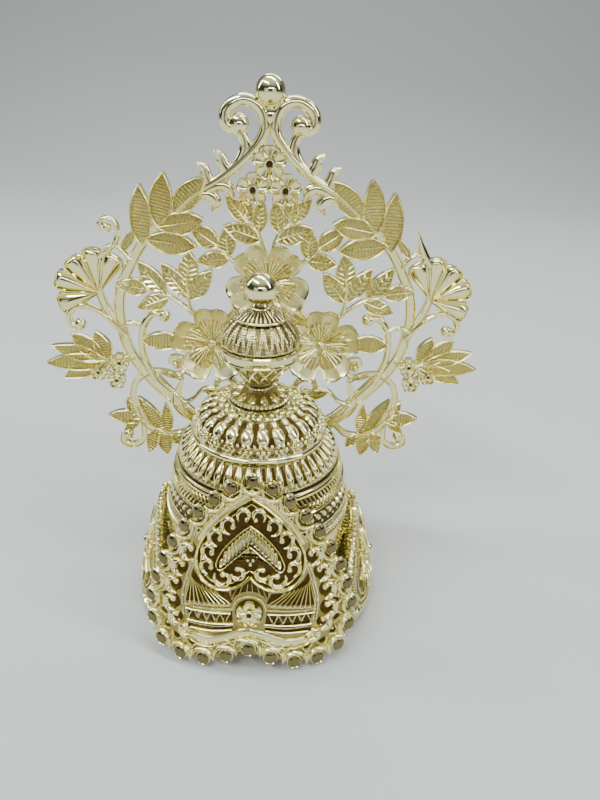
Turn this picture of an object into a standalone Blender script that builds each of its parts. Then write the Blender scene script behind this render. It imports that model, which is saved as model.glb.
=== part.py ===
"""A deity crown in thin gold-plated brass.

A flared skirt, a roped collar, a ring of petals and a fluted dome stand on one another and carry a
small lantern-shaped spire with a ball. A pierced heart-shaped plate covers the front, two smaller ones
the sides, and a flat pierced halo with three flowers stands behind, on a bracket on the collar.
The crown faces -Y, and its origin is under the middle of the whole crown, at its foot.
"""

import math

import bmesh
import bpy
from mathutils import Vector

MM = 0.001

# Sheet, seams and mouldings
WALL = 0.8 * MM
SEAM = 0.3 * MM
ROPE = 0.4 * MM
ROPE_H = 1.1 * MM

# Tiers from the foot up
SKIRT_H = 24.0 * MM
COLLAR_FOOT_R = 19.1 * MM
COLLAR_TOP_R = 16.4 * MM
COLLAR_H = 11.3 * MM
PETAL_H = 4.3 * MM
DOME_R = 13.1 * MM
DOME_RIM_H = 1.1 * MM
DOME_H = 7.2 * MM
DOME_TOP_R = 6.2 * MM
FLUTES = 24
FLUTE_DEPTH = 0.5 * MM

# Spire
NECK_H = 4.2 * MM
NECK_R = 2.3 * MM
BASKET_FOOT_R = 3.4 * MM
BASKET_TOP_R = 6.0 * MM
BASKET_H = 4.2 * MM
BAND_R = 7.9 * MM
BAND_H = 2.6 * MM
LANTERN_FOOT_R = 7.4 * MM
LANTERN_TOP_R = 4.8 * MM
LANTERN_H = 4.5 * MM
LANTERN_BULGE = 0.9 * MM
CAP_H = 2.1 * MM
CAP_TOP_R = 1.6 * MM
BALL_R = 3.05 * MM
SHANK_R = 1.4 * MM
SHANK_H = 0.3 * MM

# Plates: each is drawn flat, then curved and leant against the collar's ropes
PLATE_Z = 0.7 * MM
FRONT_H = 40.0 * MM
FRONT_BEND_R = 40.0 * MM
SIDE_H = 23.5 * MM
SIDE_BEND_R = 25.0 * MM
STUD_R = 1.6 * MM
STUD_H = 0.9 * MM
SIDE_BEAD_R = 0.9 * MM
FRONT_STUDS = 14
SIDE_STUDS = 9
RIB_H = 0.8 * MM

# Halo
HALO_WIDTH = 100.0 * MM
HALO_UNIT = HALO_WIDTH / 100
HALO_SHEET = 0.9 * MM
HALO_BALL_R = 2.9 * MM
FLOWER_R = 9.1 * MM
FLOWER_SHEET = 0.6 * MM
FLOWER_BOSS_R = 1.2 * MM
FLOWER_SEAT_T = 1.3 * MM
HALO_TURN = math.radians(3.5)
BRACKET_W = 7.0 * MM
BRACKET_H = 8.0 * MM
BRACKET_T = 1.2 * MM

ROUND_STEPS = 30
SPIRE_STEPS = 20

# Heights of the tiers' feet, one seam above what carries them
SKIRT_TOP_R = COLLAR_FOOT_R
COLLAR_Z = SKIRT_H + SEAM
PETAL_Z = COLLAR_Z + COLLAR_H + SEAM
DOME_Z = PETAL_Z + PETAL_H + SEAM
NECK_Z = DOME_Z + DOME_H + SEAM
BASKET_Z = NECK_Z + NECK_H + SEAM
BAND_Z = BASKET_Z + BASKET_H + SEAM
LANTERN_Z = BAND_Z + BAND_H + SEAM
CAP_Z = LANTERN_Z + LANTERN_H + SEAM
FINIAL_Z = CAP_Z + CAP_H + SEAM

# The plates lean as the collar does and clear its ropes by a seam
LEAN = math.atan2(COLLAR_FOOT_R - COLLAR_TOP_R, COLLAR_H)
PLATE_FOOT = COLLAR_FOOT_R + ROPE + SEAM + (COLLAR_Z - PLATE_Z) * math.tan(LEAN)
HALO_Y = COLLAR_FOOT_R + ROPE + SEAM + BRACKET_T + SEAM

# The skirt flares from the collar half way to the plates' foot
SKIRT_FOOT_R = (COLLAR_FOOT_R + PLATE_FOOT) / 2


def gold(name, colour, roughness):
    material = bpy.data.materials.new(name)
    material.use_nodes = True
    shader = material.node_tree.nodes["Principled BSDF"]
    shader.inputs["Base Color"].default_value = (*colour, 1.0)
    shader.inputs["Metallic"].default_value = 1.0
    shader.inputs["Roughness"].default_value = roughness
    return material


def new_object(name, mesh, material=None):
    obj = bpy.data.objects.new(name, mesh)
    bpy.context.scene.collection.objects.link(obj)
    if material:
        mesh.materials.clear()
        mesh.materials.append(material)
        mesh.shade_smooth()
        mesh.set_sharp_from_angle(angle=math.radians(35))
    return obj


def applied(obj, name, material=None):
    """A new object with obj's evaluated mesh. obj is removed."""
    bpy.context.view_layer.update()
    graph = bpy.context.evaluated_depsgraph_get()
    mesh = bpy.data.meshes.new_from_object(obj.evaluated_get(graph))
    mesh.name = name
    bpy.data.objects.remove(obj)
    return new_object(name, mesh, material)


def outward(mesh):
    shape = bmesh.new()
    shape.from_mesh(mesh)
    bmesh.ops.recalc_face_normals(shape, faces=shape.faces)
    shape.to_mesh(mesh)
    shape.free()


def turned(name, outline, steps, material):
    """Turns (radius, height) points about Z, from the top down the outer side. A shell's outline closes."""
    on_axis = outline[0][0] == 0.0
    mesh = bpy.data.meshes.new(name)
    count = len(outline)
    edges = [(i, (i + 1) % count) for i in range(count - 1 if on_axis else count)]
    mesh.from_pydata([(r, 0.0, z) for r, z in outline], edges, [])
    obj = new_object(name, mesh)
    screw = obj.modifiers.new("turn", "SCREW")
    screw.steps = screw.render_steps = steps
    screw.use_merge_vertices = True
    screw.merge_threshold = 0.00001
    return applied(obj, name, material)


def flute(obj, low, high):
    """Moves every second rib of a turned shell in, between two heights."""
    for vertex in obj.data.vertices:
        x, y, z = vertex.co
        if low < z < high:
            radius = math.hypot(x, y)
            wave = math.cos(FLUTES * math.atan2(y, x))
            scale = 1.0 - FLUTE_DEPTH * (1.0 - wave) / 2 / radius
            vertex.co.x *= scale
            vertex.co.y *= scale


def simplified(mesh):
    """Merges faces that lie in one plane."""
    shape = bmesh.new()
    shape.from_mesh(mesh)
    bmesh.ops.dissolve_limit(
        shape,
        angle_limit=math.radians(0.2),
        use_dissolve_boundaries=False,
        verts=shape.verts,
        edges=shape.edges,
    )
    shape.to_mesh(mesh)
    shape.free()


def joined(name, solids, material=None):
    """One closed solid from closed ones that overlap."""
    helpers = bpy.data.collections.new(name + " members")
    bpy.context.scene.collection.children.link(helpers)
    for solid in solids[1:]:
        bpy.context.scene.collection.objects.unlink(solid)
        helpers.objects.link(solid)
    boolean = solids[0].modifiers.new("join", "BOOLEAN")
    boolean.operation = "UNION"
    boolean.operand_type = "COLLECTION"
    boolean.collection = helpers
    result = applied(solids[0], name)
    for solid in list(helpers.objects):
        bpy.data.objects.remove(solid)
    bpy.data.collections.remove(helpers)
    simplified(result.data)
    return new_object_from(result, material) if material else result


def cut(obj, cutters):
    """Cuts holes through a flat solid."""
    name = obj.name
    helpers = bpy.data.collections.new(name + " cutters")
    bpy.context.scene.collection.children.link(helpers)
    for cutter in cutters:
        bpy.context.scene.collection.objects.unlink(cutter)
        helpers.objects.link(cutter)
    boolean = obj.modifiers.new("pierce", "BOOLEAN")
    boolean.operation = "DIFFERENCE"
    boolean.operand_type = "COLLECTION"
    boolean.collection = helpers
    result = applied(obj, name)
    for cutter in list(helpers.objects):
        bpy.data.objects.remove(cutter)
    bpy.data.collections.remove(helpers)
    return result


# Flat drawing: points are (across, up), and a solid's depth runs along -Y, towards the viewer


def prism(points, back, front):
    """A flat outline, counter-clockwise from the front, as a solid between two depths."""
    mesh = bpy.data.meshes.new("prism")
    count = len(points)
    vertices = [(x, -back, z) for x, z in points] + [(x, -front, z) for x, z in points]
    faces = [list(range(count - 1, -1, -1)), list(range(count, 2 * count))]
    for i in range(count):
        j = (i + 1) % count
        faces.append([i, j, count + j, count + i])
    mesh.from_pydata(vertices, [], faces)
    return new_object("prism", mesh)


def tapered(points, back, front, share):
    """As prism, with the front outline drawn in about its middle to a share of its size."""
    obj = prism(points, back, front)
    count = len(points)
    middle = sum((Vector(p) for p in points), Vector((0.0, 0.0))) / count
    for vertex in obj.data.vertices[count:]:
        vertex.co.x = middle.x + (vertex.co.x - middle.x) * share
        vertex.co.z = middle.y + (vertex.co.z - middle.y) * share
    return obj


def smooth_line(points, per_span):
    """Points along a smooth curve through the ones given."""
    knots = [Vector(p) for p in points]
    knots = [2 * knots[0] - knots[1], *knots, 2 * knots[-1] - knots[-2]]
    line = []
    for a, b, c, d in zip(knots, knots[1:], knots[2:], knots[3:]):
        for step in range(per_span):
            t = step / per_span
            line.append(
                0.5
                * (2 * b + (c - a) * t + (2 * a - 5 * b + 4 * c - d) * t**2 + (3 * b - a - 3 * c + d) * t**3)
            )
    return [*line, knots[-2]]


def strand(points, widths, back, front, per_span=1):
    """A flat ribbon along a smooth line. Its width goes evenly from one named value to the next."""
    line = smooth_line(points, per_span)
    left, right = [], []
    for i, here in enumerate(line):
        along = line[min(i + 1, len(line) - 1)] - line[max(i - 1, 0)]
        side = Vector((-along.y, along.x)).normalized()
        place = i / (len(line) - 1) * (len(widths) - 1)
        k = min(int(place), len(widths) - 2)
        half = (widths[k] + (widths[k + 1] - widths[k]) * (place - k)) / 2
        left.append(here + side * half)
        right.append(here - side * half)
    mesh = bpy.data.meshes.new("strand")
    count = len(line)
    rows = [(left, -back), (right, -back), (right, -front), (left, -front)]
    vertices = [(p.x, y, p.y) for row, y in rows for p in row]
    faces = []
    for i in range(count - 1):
        for k in range(4):
            a, b = k * count + i, (k + 1) % 4 * count + i
            faces.append([a, b, b + 1, a + 1])
    faces.append([3 * count, 2 * count, count, 0])
    faces.append([count - 1, 2 * count - 1, 3 * count - 1, 4 * count - 1])
    mesh.from_pydata(vertices, [], faces)
    outward(mesh)
    return new_object("strand", mesh)


def ridged(edge, crest, back, front, ridge):
    """A flat outline as a solid whose front rises to one point."""
    mesh = bpy.data.meshes.new("ridged")
    count = len(edge)
    vertices = [(p.x, -back, p.y) for p in edge] + [(p.x, -front, p.y) for p in edge]
    vertices.append((crest.x, -ridge, crest.y))
    faces = [list(range(count - 1, -1, -1))]
    for i in range(count):
        j = (i + 1) % count
        faces.append([i, j, count + j, count + i])
        faces.append([count + i, count + j, 2 * count])
    mesh.from_pydata(vertices, [], faces)
    outward(mesh)
    return new_object("ridged", mesh)


def along_axis(base, tip, width, shares):
    """An outline about a line, from (share of its length, share of its half width) pairs."""
    base, tip = Vector(base), Vector(tip)
    along = tip - base
    side = Vector((-along.y, along.x)).normalized() * width / 2
    near = [base + along * t - side * s for t, s in shares]
    far = [base + along * t + side * s for t, s in reversed(shares) if s > 0]
    return near + far, base + along * 0.45


def leaf(base, tip, width, back, front, ridge):
    """A pointed leaf with a raised midrib."""
    slim = width < 3.0 * MM
    shares = [(0, 0), (0.42, 1), (1, 0)] if slim else [(0, 0), (0.25, 0.85), (0.62, 0.85), (1, 0)]
    edge, crest = along_axis(base, tip, width, shares)
    return ridged(edge, crest, back, front, ridge)


def lobe(foot, tip, width, front):
    """One lobe of a fan, rounded at its tip."""
    edge, crest = along_axis(foot, tip, width, [(0, 0), (0.55, 0.75), (0.85, 1), (1, 0.45)])
    return ridged(edge, crest, 0.0, front * 0.7, front)


def disc_points(centre, radius, sides, turn=0.0):
    return [
        (
            centre[0] + radius * math.cos(turn + 2 * math.pi * k / sides),
            centre[1] + radius * math.sin(turn + 2 * math.pi * k / sides),
        )
        for k in range(sides)
    ]


def star_points(centre, radius, inner_share, turn=math.pi / 2):
    """Five round lobes as ten points."""
    return [
        (
            centre[0] + radius * (1.0 if k % 2 == 0 else inner_share) * math.cos(turn + math.pi * k / 5),
            centre[1] + radius * (1.0 if k % 2 == 0 else inner_share) * math.sin(turn + math.pi * k / 5),
        )
        for k in range(10)
    ]


# Tiers


def skirt(material):
    slope = (SKIRT_FOOT_R - SKIRT_TOP_R) / SKIRT_H
    outline = [
        (SKIRT_TOP_R, SKIRT_H),
        (SKIRT_FOOT_R - ROPE_H * slope, ROPE_H),
        (SKIRT_FOOT_R + ROPE / 2, ROPE_H),
        (SKIRT_FOOT_R + ROPE / 2, 0.0),
        (SKIRT_FOOT_R - WALL, 0.0),
        (SKIRT_TOP_R - WALL, SKIRT_H),
    ]
    return turned("skirt", outline, ROUND_STEPS, material)


def collar(material):
    """A flared band with a rope moulding round its top and its foot."""

    def radius(height):
        return COLLAR_FOOT_R + (COLLAR_TOP_R - COLLAR_FOOT_R) * height / COLLAR_H

    outline = []
    for low in (COLLAR_H - ROPE_H, 0.0):
        high = low + ROPE_H
        if high < COLLAR_H:
            outline.append((radius(high), COLLAR_Z + high))
        outline.append((radius(high) + ROPE, COLLAR_Z + high))
        outline.append((radius(low) + ROPE, COLLAR_Z + low))
        if low > 0.0:
            outline.append((radius(low), COLLAR_Z + low))
    outline.append((COLLAR_FOOT_R - WALL, COLLAR_Z))
    outline.append((COLLAR_TOP_R - WALL, COLLAR_Z + COLLAR_H))
    return turned("collar", outline, ROUND_STEPS, material)


def petal_band(material):
    """The ring of petals under the dome's rim."""
    swell = COLLAR_TOP_R - (COLLAR_TOP_R - DOME_R) * 0.4
    outline = [
        (DOME_R, PETAL_Z + PETAL_H),
        (swell, PETAL_Z + PETAL_H * 0.55),
        (COLLAR_TOP_R, PETAL_Z),
        (COLLAR_TOP_R - WALL, PETAL_Z),
        (swell - WALL - FLUTE_DEPTH, PETAL_Z + PETAL_H * 0.5),
        (DOME_R - WALL, PETAL_Z + PETAL_H),
    ]
    obj = turned("petal_band", outline, 2 * FLUTES, material)
    flute(obj, PETAL_Z + PETAL_H * 0.1, PETAL_Z + PETAL_H * 0.9)
    return obj


def dome(material):
    """A fluted dome on a smooth rim, open below and at its top."""
    rim_z = DOME_Z + DOME_RIM_H
    rise = DOME_H - DOME_RIM_H
    end = math.acos(DOME_TOP_R / DOME_R)

    def arc(radius, share):
        angle = end * share
        return radius * math.cos(angle), rim_z + rise * math.sin(angle) / math.sin(end)

    outer = [arc(DOME_R, share) for share in (1.0, 0.7, 0.35, 0.0)]
    inner = [arc(DOME_R - WALL - FLUTE_DEPTH, share) for share in (0.0, 0.6)]
    outline = [
        *outer,
        (DOME_R + ROPE, rim_z),
        (DOME_R + ROPE, DOME_Z),
        (DOME_R - WALL, DOME_Z),
        *inner,
        (DOME_TOP_R - WALL, DOME_Z + DOME_H),
    ]
    obj = turned("dome", outline, 2 * FLUTES, material)
    flute(obj, rim_z + rise * 0.2, rim_z + rise * 0.9)
    return obj


def neck(material):
    """The spire's stem, with the bead ring at its foot."""
    foot = DOME_TOP_R - WALL / 4
    outline = [
        (0.0, NECK_Z + NECK_H),
        (BASKET_FOOT_R, NECK_Z + NECK_H),
        (NECK_R, NECK_Z + NECK_H * 0.75),
        (NECK_R, NECK_Z + NECK_H * 0.5),
        (foot * 0.75, NECK_Z + NECK_H * 0.3),
        (foot, NECK_Z + NECK_H * 0.2),
        (foot, NECK_Z),
        (0.0, NECK_Z),
    ]
    return turned("neck", outline, SPIRE_STEPS, material)


def spire_shell(name, foot_r, top_r, z, height, bulge, material):
    """An open-ended flared ring, such as each half of the lantern."""
    middle = (foot_r + top_r) / 2 + bulge
    outline = [
        (top_r, z + height),
        (middle, z + height / 2),
        (foot_r, z),
        (foot_r - WALL, z),
        (middle - WALL, z + height / 2),
        (top_r - WALL, z + height),
    ]
    return turned(name, outline, SPIRE_STEPS, material)


def spire_band(material):
    """The polished ring between the lantern's halves, as wide inside as the ring that it stands on."""
    outline = [
        (BAND_R - WALL / 2, BAND_Z + BAND_H),
        (BAND_R, BAND_Z + BAND_H * 0.8),
        (BAND_R - WALL, BAND_Z),
        (BASKET_TOP_R - WALL, BAND_Z),
        (LANTERN_FOOT_R - WALL, BAND_Z + BAND_H),
    ]
    return turned("spire_band", outline, SPIRE_STEPS, material)


def cap(material):
    outline = [
        (0.0, CAP_Z + CAP_H),
        (CAP_TOP_R, CAP_Z + CAP_H),
        ((LANTERN_TOP_R + CAP_TOP_R) / 2 + ROPE, CAP_Z + CAP_H * 0.6),
        (LANTERN_TOP_R + ROPE, CAP_Z + ROPE_H / 2),
        (LANTERN_TOP_R + ROPE, CAP_Z),
        (0.0, CAP_Z),
    ]
    return turned("spire_cap", outline, SPIRE_STEPS, material)


def finial(material):
    """The ball at the top of the spire, on its short shank."""
    centre = FINIAL_Z + SHANK_H + math.sqrt(BALL_R**2 - SHANK_R**2)
    rings = 7
    low = math.asin(-math.sqrt(BALL_R**2 - SHANK_R**2) / BALL_R)
    outline = []
    for k in range(rings + 1):
        angle = math.pi / 2 + (low - math.pi / 2) * k / rings
        radius = 0.0 if k == 0 else BALL_R * math.cos(angle)
        outline.append((radius, centre + BALL_R * math.sin(angle)))
    outline += [(SHANK_R, FINIAL_Z), (0.0, FINIAL_Z)]
    return turned("spire_ball", outline, 14, material)


# Plates


def heart_half(height, half_width):
    """Right half of an upturned heart from its apex to the notch at its foot, as shares of its size."""
    shares = [(0.0, 1.0), (0.2, 0.965), (0.38, 0.9), (0.54, 0.82), (0.69, 0.725), (0.81, 0.62), (0.91, 0.5)]
    shares += [(0.98, 0.37), (1.0, 0.24), (0.88, 0.085), (0.62, 0.03), (0.36, 0.04)]
    shares += [(0.12, 0.09), (0.0, 0.12)]
    return [(across * half_width, up * height) for across, up in shares]


def spaced(points, count):
    """count + 1 points at even distances along a line."""
    line = [Vector(p) for p in points]
    lengths = [(b - a).length for a, b in zip(line, line[1:])]
    total = sum(lengths)
    out = []
    for k in range(count + 1):
        left = total * k / count
        i = 0
        while i < len(lengths) - 1 and left > lengths[i]:
            left -= lengths[i]
            i += 1
        out.append(line[i].lerp(line[i + 1], min(left / lengths[i], 1.0)))
    return out


def mirrored(half):
    """A closed outline, counter-clockwise from the front, from its right half given from the top down."""
    left = [(-x, z) for x, z in half if x > 0.0]
    return [tuple(p) for p in reversed([*half, *reversed(left)])]


def plate_solid(name, half, studs, stud_r, sides, extras, holes):
    """A heart-shaped sheet with studs round its edge, drawn flat."""
    centre_line = [tuple(p) for p in spaced(smooth_line(half, 3), studs)]
    sheet = prism(mirrored(centre_line), 0.0, WALL)
    sheet.name = name
    sheet = cut(sheet, holes) if holes else sheet
    domes = []
    seats = centre_line + [(-x, z) for x, z in centre_line[1:-1]]
    for seat in seats:
        points = disc_points(seat, stud_r, sides, math.pi / 6)
        domes.append(tapered(points, 0.0, WALL + STUD_H, 0.55))
    return joined(name, [sheet, *domes, *extras])


def bend(obj, foot, radius, pitch, turn):
    """Cuts a flat solid into upright strips, curves it, leans it back and turns it about the crown's axis."""
    shape = bmesh.new()
    shape.from_mesh(obj.data)
    reach = max(abs(v.co.x) for v in shape.verts)
    count = int(reach / pitch)
    for k in range(-count, count + 1):
        faces = [*shape.verts, *shape.edges, *shape.faces]
        cut = ((k + 0.03) * pitch, 0, 0)
        bmesh.ops.bisect_plane(shape, geom=faces, plane_co=cut, plane_no=(1, 0, 0), dist=1e-7)
    for vertex in shape.verts:
        across, depth, up = vertex.co.x, -vertex.co.y, vertex.co.z
        height = PLATE_Z + up * math.cos(LEAN) + depth * math.sin(LEAN)
        out = foot - up * math.sin(LEAN) + depth * math.cos(LEAN)
        angle = across / radius
        x = (radius + out - foot) * math.sin(angle)
        y = -(foot - radius) - (radius + out - foot) * math.cos(angle)
        vertex.co = (
            x * math.cos(turn) - y * math.sin(turn),
            x * math.sin(turn) + y * math.cos(turn),
            height,
        )
    shape.to_mesh(obj.data)
    shape.free()
    return obj


def front_plate(material):
    """The tall front plate: studs round the edge, a heart frame, a chevron, a flower and rails."""
    half_width = FRONT_H * 0.55
    half = heart_half(FRONT_H, half_width)

    def at(across, up):
        return across * FRONT_H, up * FRONT_H

    top = WALL + RIB_H
    frame_half = [at(0, 0.92), at(0.148, 0.815), at(0.26, 0.68), at(0.283, 0.6), at(0.275, 0.53)]
    frame_half += [at(0.238, 0.478), at(0.175, 0.452), at(0.115, 0.452), at(0.05, 0.48), at(0, 0.522)]
    chevron = [at(-0.155, 0.585), at(-0.09, 0.66), at(0, 0.735), at(0.09, 0.66), at(0.155, 0.585)]
    width = 0.036 * FRONT_H
    crescents = [(0.335, 0.61), (0.378, 0.51), (0.408, 0.405), (0.408, 0.305), (0.375, 0.22), (0.31, 0.165)]
    extras = []
    for side in (1, -1):
        extras.append(strand([(side * x, z) for x, z in frame_half], [width, width], WALL / 2, top, 1))
        for row, reach in ((0.315, 0.31), (0.235, 0.29)):
            rail = [(side * x, z) for x, z in (at(0.06, row), at(0.2, row), at(reach, row + 0.01))]
            extras.append(strand(rail, [width * 0.6, width * 0.6], WALL / 3, WALL + RIB_H / 2, 1))
        for across, up in crescents:
            seat = at(side * across, up)
            extras.append(tapered(disc_points(seat, width, 5), WALL / 2, WALL + RIB_H / 2, 0.6))
    widths = [width, width * 1.6, width * 2, width * 1.6, width]
    extras.append(strand(chevron, widths, WALL / 2, top * 0.95, 1))
    flower = at(0, 0.32)
    extras.append(tapered(star_points(flower, width * 2.4, 0.6), WALL / 2, top * 1.1, 0.7))
    holes = []
    for side in (1, -1):
        for across in (0.12, 0.22):
            corners = [at(across, 0.3), at(across - 0.03, 0.25), at(across + 0.03, 0.25)]
            corners = [(side * x, z) for x, z in corners]
            holes.append(prism(corners if side > 0 else corners[::-1], -WALL, 2 * WALL))
    corners = [at(0, 0.66), at(-0.1, 0.575), at(0.1, 0.575)]
    holes.append(prism(corners, -WALL, 2 * WALL))
    obj = plate_solid("front_plate", half, FRONT_STUDS, STUD_R, 6, extras, holes)
    obj = bend(obj, PLATE_FOOT, FRONT_BEND_R, FRONT_H / 6, 0.0)
    return new_object_from(obj, material)


def side_plate(name, turn, material):
    """A smaller plate with a bead at its tip and a leaf at its middle."""
    half_width = SIDE_H * 0.68
    half = heart_half(SIDE_H, half_width)
    stud_r = STUD_R * 0.9
    extras = []
    leaves = ((0, 0.8), (-0.2, 0.62), (0.2, 0.62), (-0.26, 0.4), (0.26, 0.4))
    for k, (across, up) in enumerate(leaves):
        ridge = WALL + RIB_H * (1.0 + 0.1 * k)
        base, tip = (0.0, 0.28 * SIDE_H), (across * SIDE_H, up * SIDE_H)
        extras.append(leaf(base, tip, 0.15 * SIDE_H, WALL / 2, WALL * 1.2, ridge))
    bead = disc_points((0.0, SIDE_H + STUD_R), SIDE_BEAD_R, 6)
    extras.append(tapered(bead, 0.0, WALL + RIB_H, 0.6))
    obj = plate_solid(name, half, SIDE_STUDS, stud_r, 5, extras, [])
    obj = bend(obj, PLATE_FOOT, SIDE_BEND_R, SIDE_H / 4, turn)
    return new_object_from(obj, material)


def new_object_from(obj, material):
    """Gives a finished mesh its material and shading."""
    name, mesh = obj.name, obj.data
    bpy.data.objects.remove(obj)
    mesh.name = name
    return new_object(name, mesh, material)


# Halo. The tracery is drawn in hundredths of its width, with x from the middle and z above the crown's
# foot, for a collar that starts at 24.3. Only the right half is listed.

HALO_STRANDS = [
    # main arch, from the foot to the scroll beside the top ball
    (
        [(2, 25.4), (8.7, 25.2), (15, 28.2), (20.8, 34.4), (27, 41), (31, 48), (32.4, 56), (31.6, 62.4)]
        + [(29.2, 67.4), (26.6, 71.8), (23.2, 75.6), (18.8, 79.2), (14.3, 82.9), (9.2, 86), (4.4, 90)]
        + [(1.3, 93.8), (1.2, 97), (2.8, 99.2), (5.5, 99.8), (8.2, 98.2), (8.6, 95.8), (6.8, 94.6)],
        [1.8, 2.0, 2.5, 2.4, 2.0, 1.7, 1.7, 2.4],
    ),
    # strand from the scroll back down to the arch
    ([(6.6, 93.8), (4.8, 93.3), (4.3, 91.4), (5.8, 89), (10.4, 85.6)], [0.8, 1.7, 1.7, 1.4]),
    # second strand of the lower stem
    ([(7.8, 26.6), (16, 31.3), (21.8, 37.4), (26.4, 43)], [0.9, 0.9]),
    # hooks above and below the arch
    ([(7.9, 86.4), (9.2, 88.3), (9.5, 89.7), (10.9, 90.7)], [2.8, 2.2, 1.7, 0.6]),
    ([(11.9, 84), (12.6, 86), (12.9, 87.5), (14.3, 88.3)], [2.8, 2.3, 1.7, 0.6]),
    ([(12.5, 83.3), (9.7, 84.3), (7.9, 83.6), (7.2, 81.9)], [1.8, 2.2, 2.0, 0.7]),
    ([(14, 82.2), (12.1, 82.4), (10.7, 81), (11.5, 79.3)], [1.8, 2.3, 2.2, 0.6]),
    # hoop over the fan
    ([(36, 68.4), (34, 71), (31.6, 71.4), (29, 68.6)], [1.1, 1.0, 1.1]),
    # fan stem
    ([(36.4, 62), (35, 57.6), (31.6, 51.4)], [1.8, 1.6]),
    # scroll beside the fan
    ([(31.8, 52), (35.7, 56.2), (39.6, 58.3), (42.8, 57.2), (43.6, 54.6), (42, 53)], [1.6, 1.5, 1.5, 1.6]),
    # scroll inside the arch
    ([(25.6, 40.2), (27.6, 45), (28.2, 50), (27.4, 54), (25.4, 56.6), (23, 56.6)], [1.5, 1.7, 1.8]),
    ([(32.6, 53.6), (29.8, 54.6), (27, 53.4)], [1.1, 1.0]),
    # stems of the leaf sprays
    ([(0.2, 69.4), (2.3, 75.2), (5.2, 78.8)], [1.1, 0.8]),
    ([(4.4, 66.4), (8.1, 69.6), (11.6, 73)], [1.1, 0.8]),
    ([(13.4, 54), (16.8, 57.8), (17.4, 64.8)], [1.2, 0.8]),
    ([(15.8, 56.6), (21.2, 60.8), (27, 62.8)], [1.1, 0.8]),
    # stem of the lobed leaf
    ([(30, 46.6), (33.6, 45.6), (38.6, 45.4)], [1.4, 1.4]),
    # great lower scroll
    (
        [(19.6, 41), (23, 42.6), (27, 42.6), (30.4, 40), (31.4, 36), (30.8, 31.8), (28.2, 27.8), (24.2, 25.8)]
        + [(20.2, 26.2), (17.4, 28.8)],
        [1.2, 1.7, 1.6],
    ),
    # curl below it
    ([(29.6, 29), (29.8, 24.6), (32.4, 22.5), (34.8, 23.6), (34.6, 25.6)], [1.2, 1.6, 1.5]),
    # curved leaf and small spiral inside it
    ([(16.4, 29.2), (20, 32.2), (21.2, 35.9), (19.6, 41)], [1.0, 2.8, 0.8]),
    ([(24.2, 42.8), (21.4, 41.8), (18.8, 43.4), (19.2, 46), (21.6, 46.4), (22, 44.8)], [1.3, 1.2, 1.4]),
    # ring scroll beside the middle stem
    ([(2.4, 33.4), (5.4, 37.4), (8.1, 41), (11.2, 40.8), (11.6, 38), (9.5, 37.4)], [1.2, 1.2, 1.5]),
    ([(11.4, 38.6), (14.9, 38.2), (17.6, 35.4), (20.6, 34.2)], [0.9, 0.9]),
]

# over the fan, the curl of the left side is whole, and that of the right has lost its coil
LEFT_CURL = ([(35.6, 69.2), (33, 71), (31.2, 73.4), (31.4, 76.2), (33.2, 77.2), (34.6, 76), (33.8, 74.8)],)
LEFT_CURL += ([1.5, 1.2, 1.1, 1.2],)
LEFT_CURL_END = ((33.2, 75.2), 1.0)
RIGHT_STUMP = ([(35.4, 69.2), (33.2, 72.4), (31.8, 76.2)], [1.7, 1.9, 0.3])

HALO_LEAVES = [
    # five broad leaves on the arch
    ((26.2, 72.2), (25.8, 84.1), 4.4),
    ((22.6, 76), (20.9, 86.5), 4.6),
    ((19.3, 78.7), (13, 85.9), 4.8),
    ((22.8, 75.9), (13.4, 77.6), 4.8),
    ((25.4, 73.4), (15, 72), 4.8),
    # bud over the fan
    ((30.6, 70.6), (27.4, 75.2), 1.8),
    # sprays
    ((4.1, 77.2), (8.7, 82.4), 3.3),
    ((3.8, 77), (5.5, 83), 3.1),
    ((2.2, 75.2), (1.3, 81.8), 3.2),
    ((1.5, 73.8), (9.3, 76.4), 4.2),
    ((10.6, 72.2), (15.8, 76), 4.2),
    ((8.4, 70), (8.9, 76), 3.8),
    ((8.3, 69.6), (14.9, 69), 3.7),
    ((17.3, 63.4), (16.5, 70.9), 4.4),
    ((17.1, 60.6), (12, 67), 4.2),
    ((17.2, 60.8), (22.6, 68.2), 4.0),
    ((22, 61), (27.4, 68.4), 4.1),
    ((25.8, 62.4), (32.5, 63.6), 3.8),
    ((21.4, 60.8), (28.2, 58.3), 3.8),
    ((28, 50.4), (18.6, 50.6), 4.2),
    # lobed leaf at the widest point
    ((35.6, 45.4), (50, 44.6), 4.4),
    ((36.8, 45.6), (48.2, 48.8), 3.8),
    ((36.8, 45.4), (43.4, 51.8), 4.4),
    ((36, 45.4), (38.2, 52.4), 4.0),
    ((37.4, 45.2), (46.4, 41), 3.8),
    # leaves of the great lower scroll
    ((29.6, 30.2), (37.6, 31), 3.8),
    ((30.4, 30.6), (33, 35.4), 2.6),
    ((30.2, 30.2), (34.4, 26.6), 2.4),
    ((24.4, 26.2), (30.2, 36), 3.2),
    ((23.6, 26), (24, 34.2), 3.0),
    ((26.4, 27), (28.8, 20.6), 3.2),
    ((25.2, 26.4), (24.2, 20), 3.6),
    ((22.8, 26), (20.4, 22.4), 2.6),
    ((14.9, 38.2), (9.2, 35.6), 2.2),
]

# fan of five lobes: foot, tips
FAN_FOOT = (36.4, 61.4)
FAN_TIPS = [(32.2, 69.8), (36.8, 71.2), (41.6, 69), (45.3, 64.6), (45.3, 58.4)]
FAN_LOBE = 4.2 * HALO_UNIT

# balls that end the scrolls: place and radius
SCROLL_ENDS = [((6, 95.4), 1.7), ((41.3, 54), 1.3), ((22.8, 56.3), 1.4), ((20.9, 44.4), 1.1)]
SCROLL_ENDS += [((33.4, 25.4), 1.3), ((9.1, 38), 1.1)]

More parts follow.
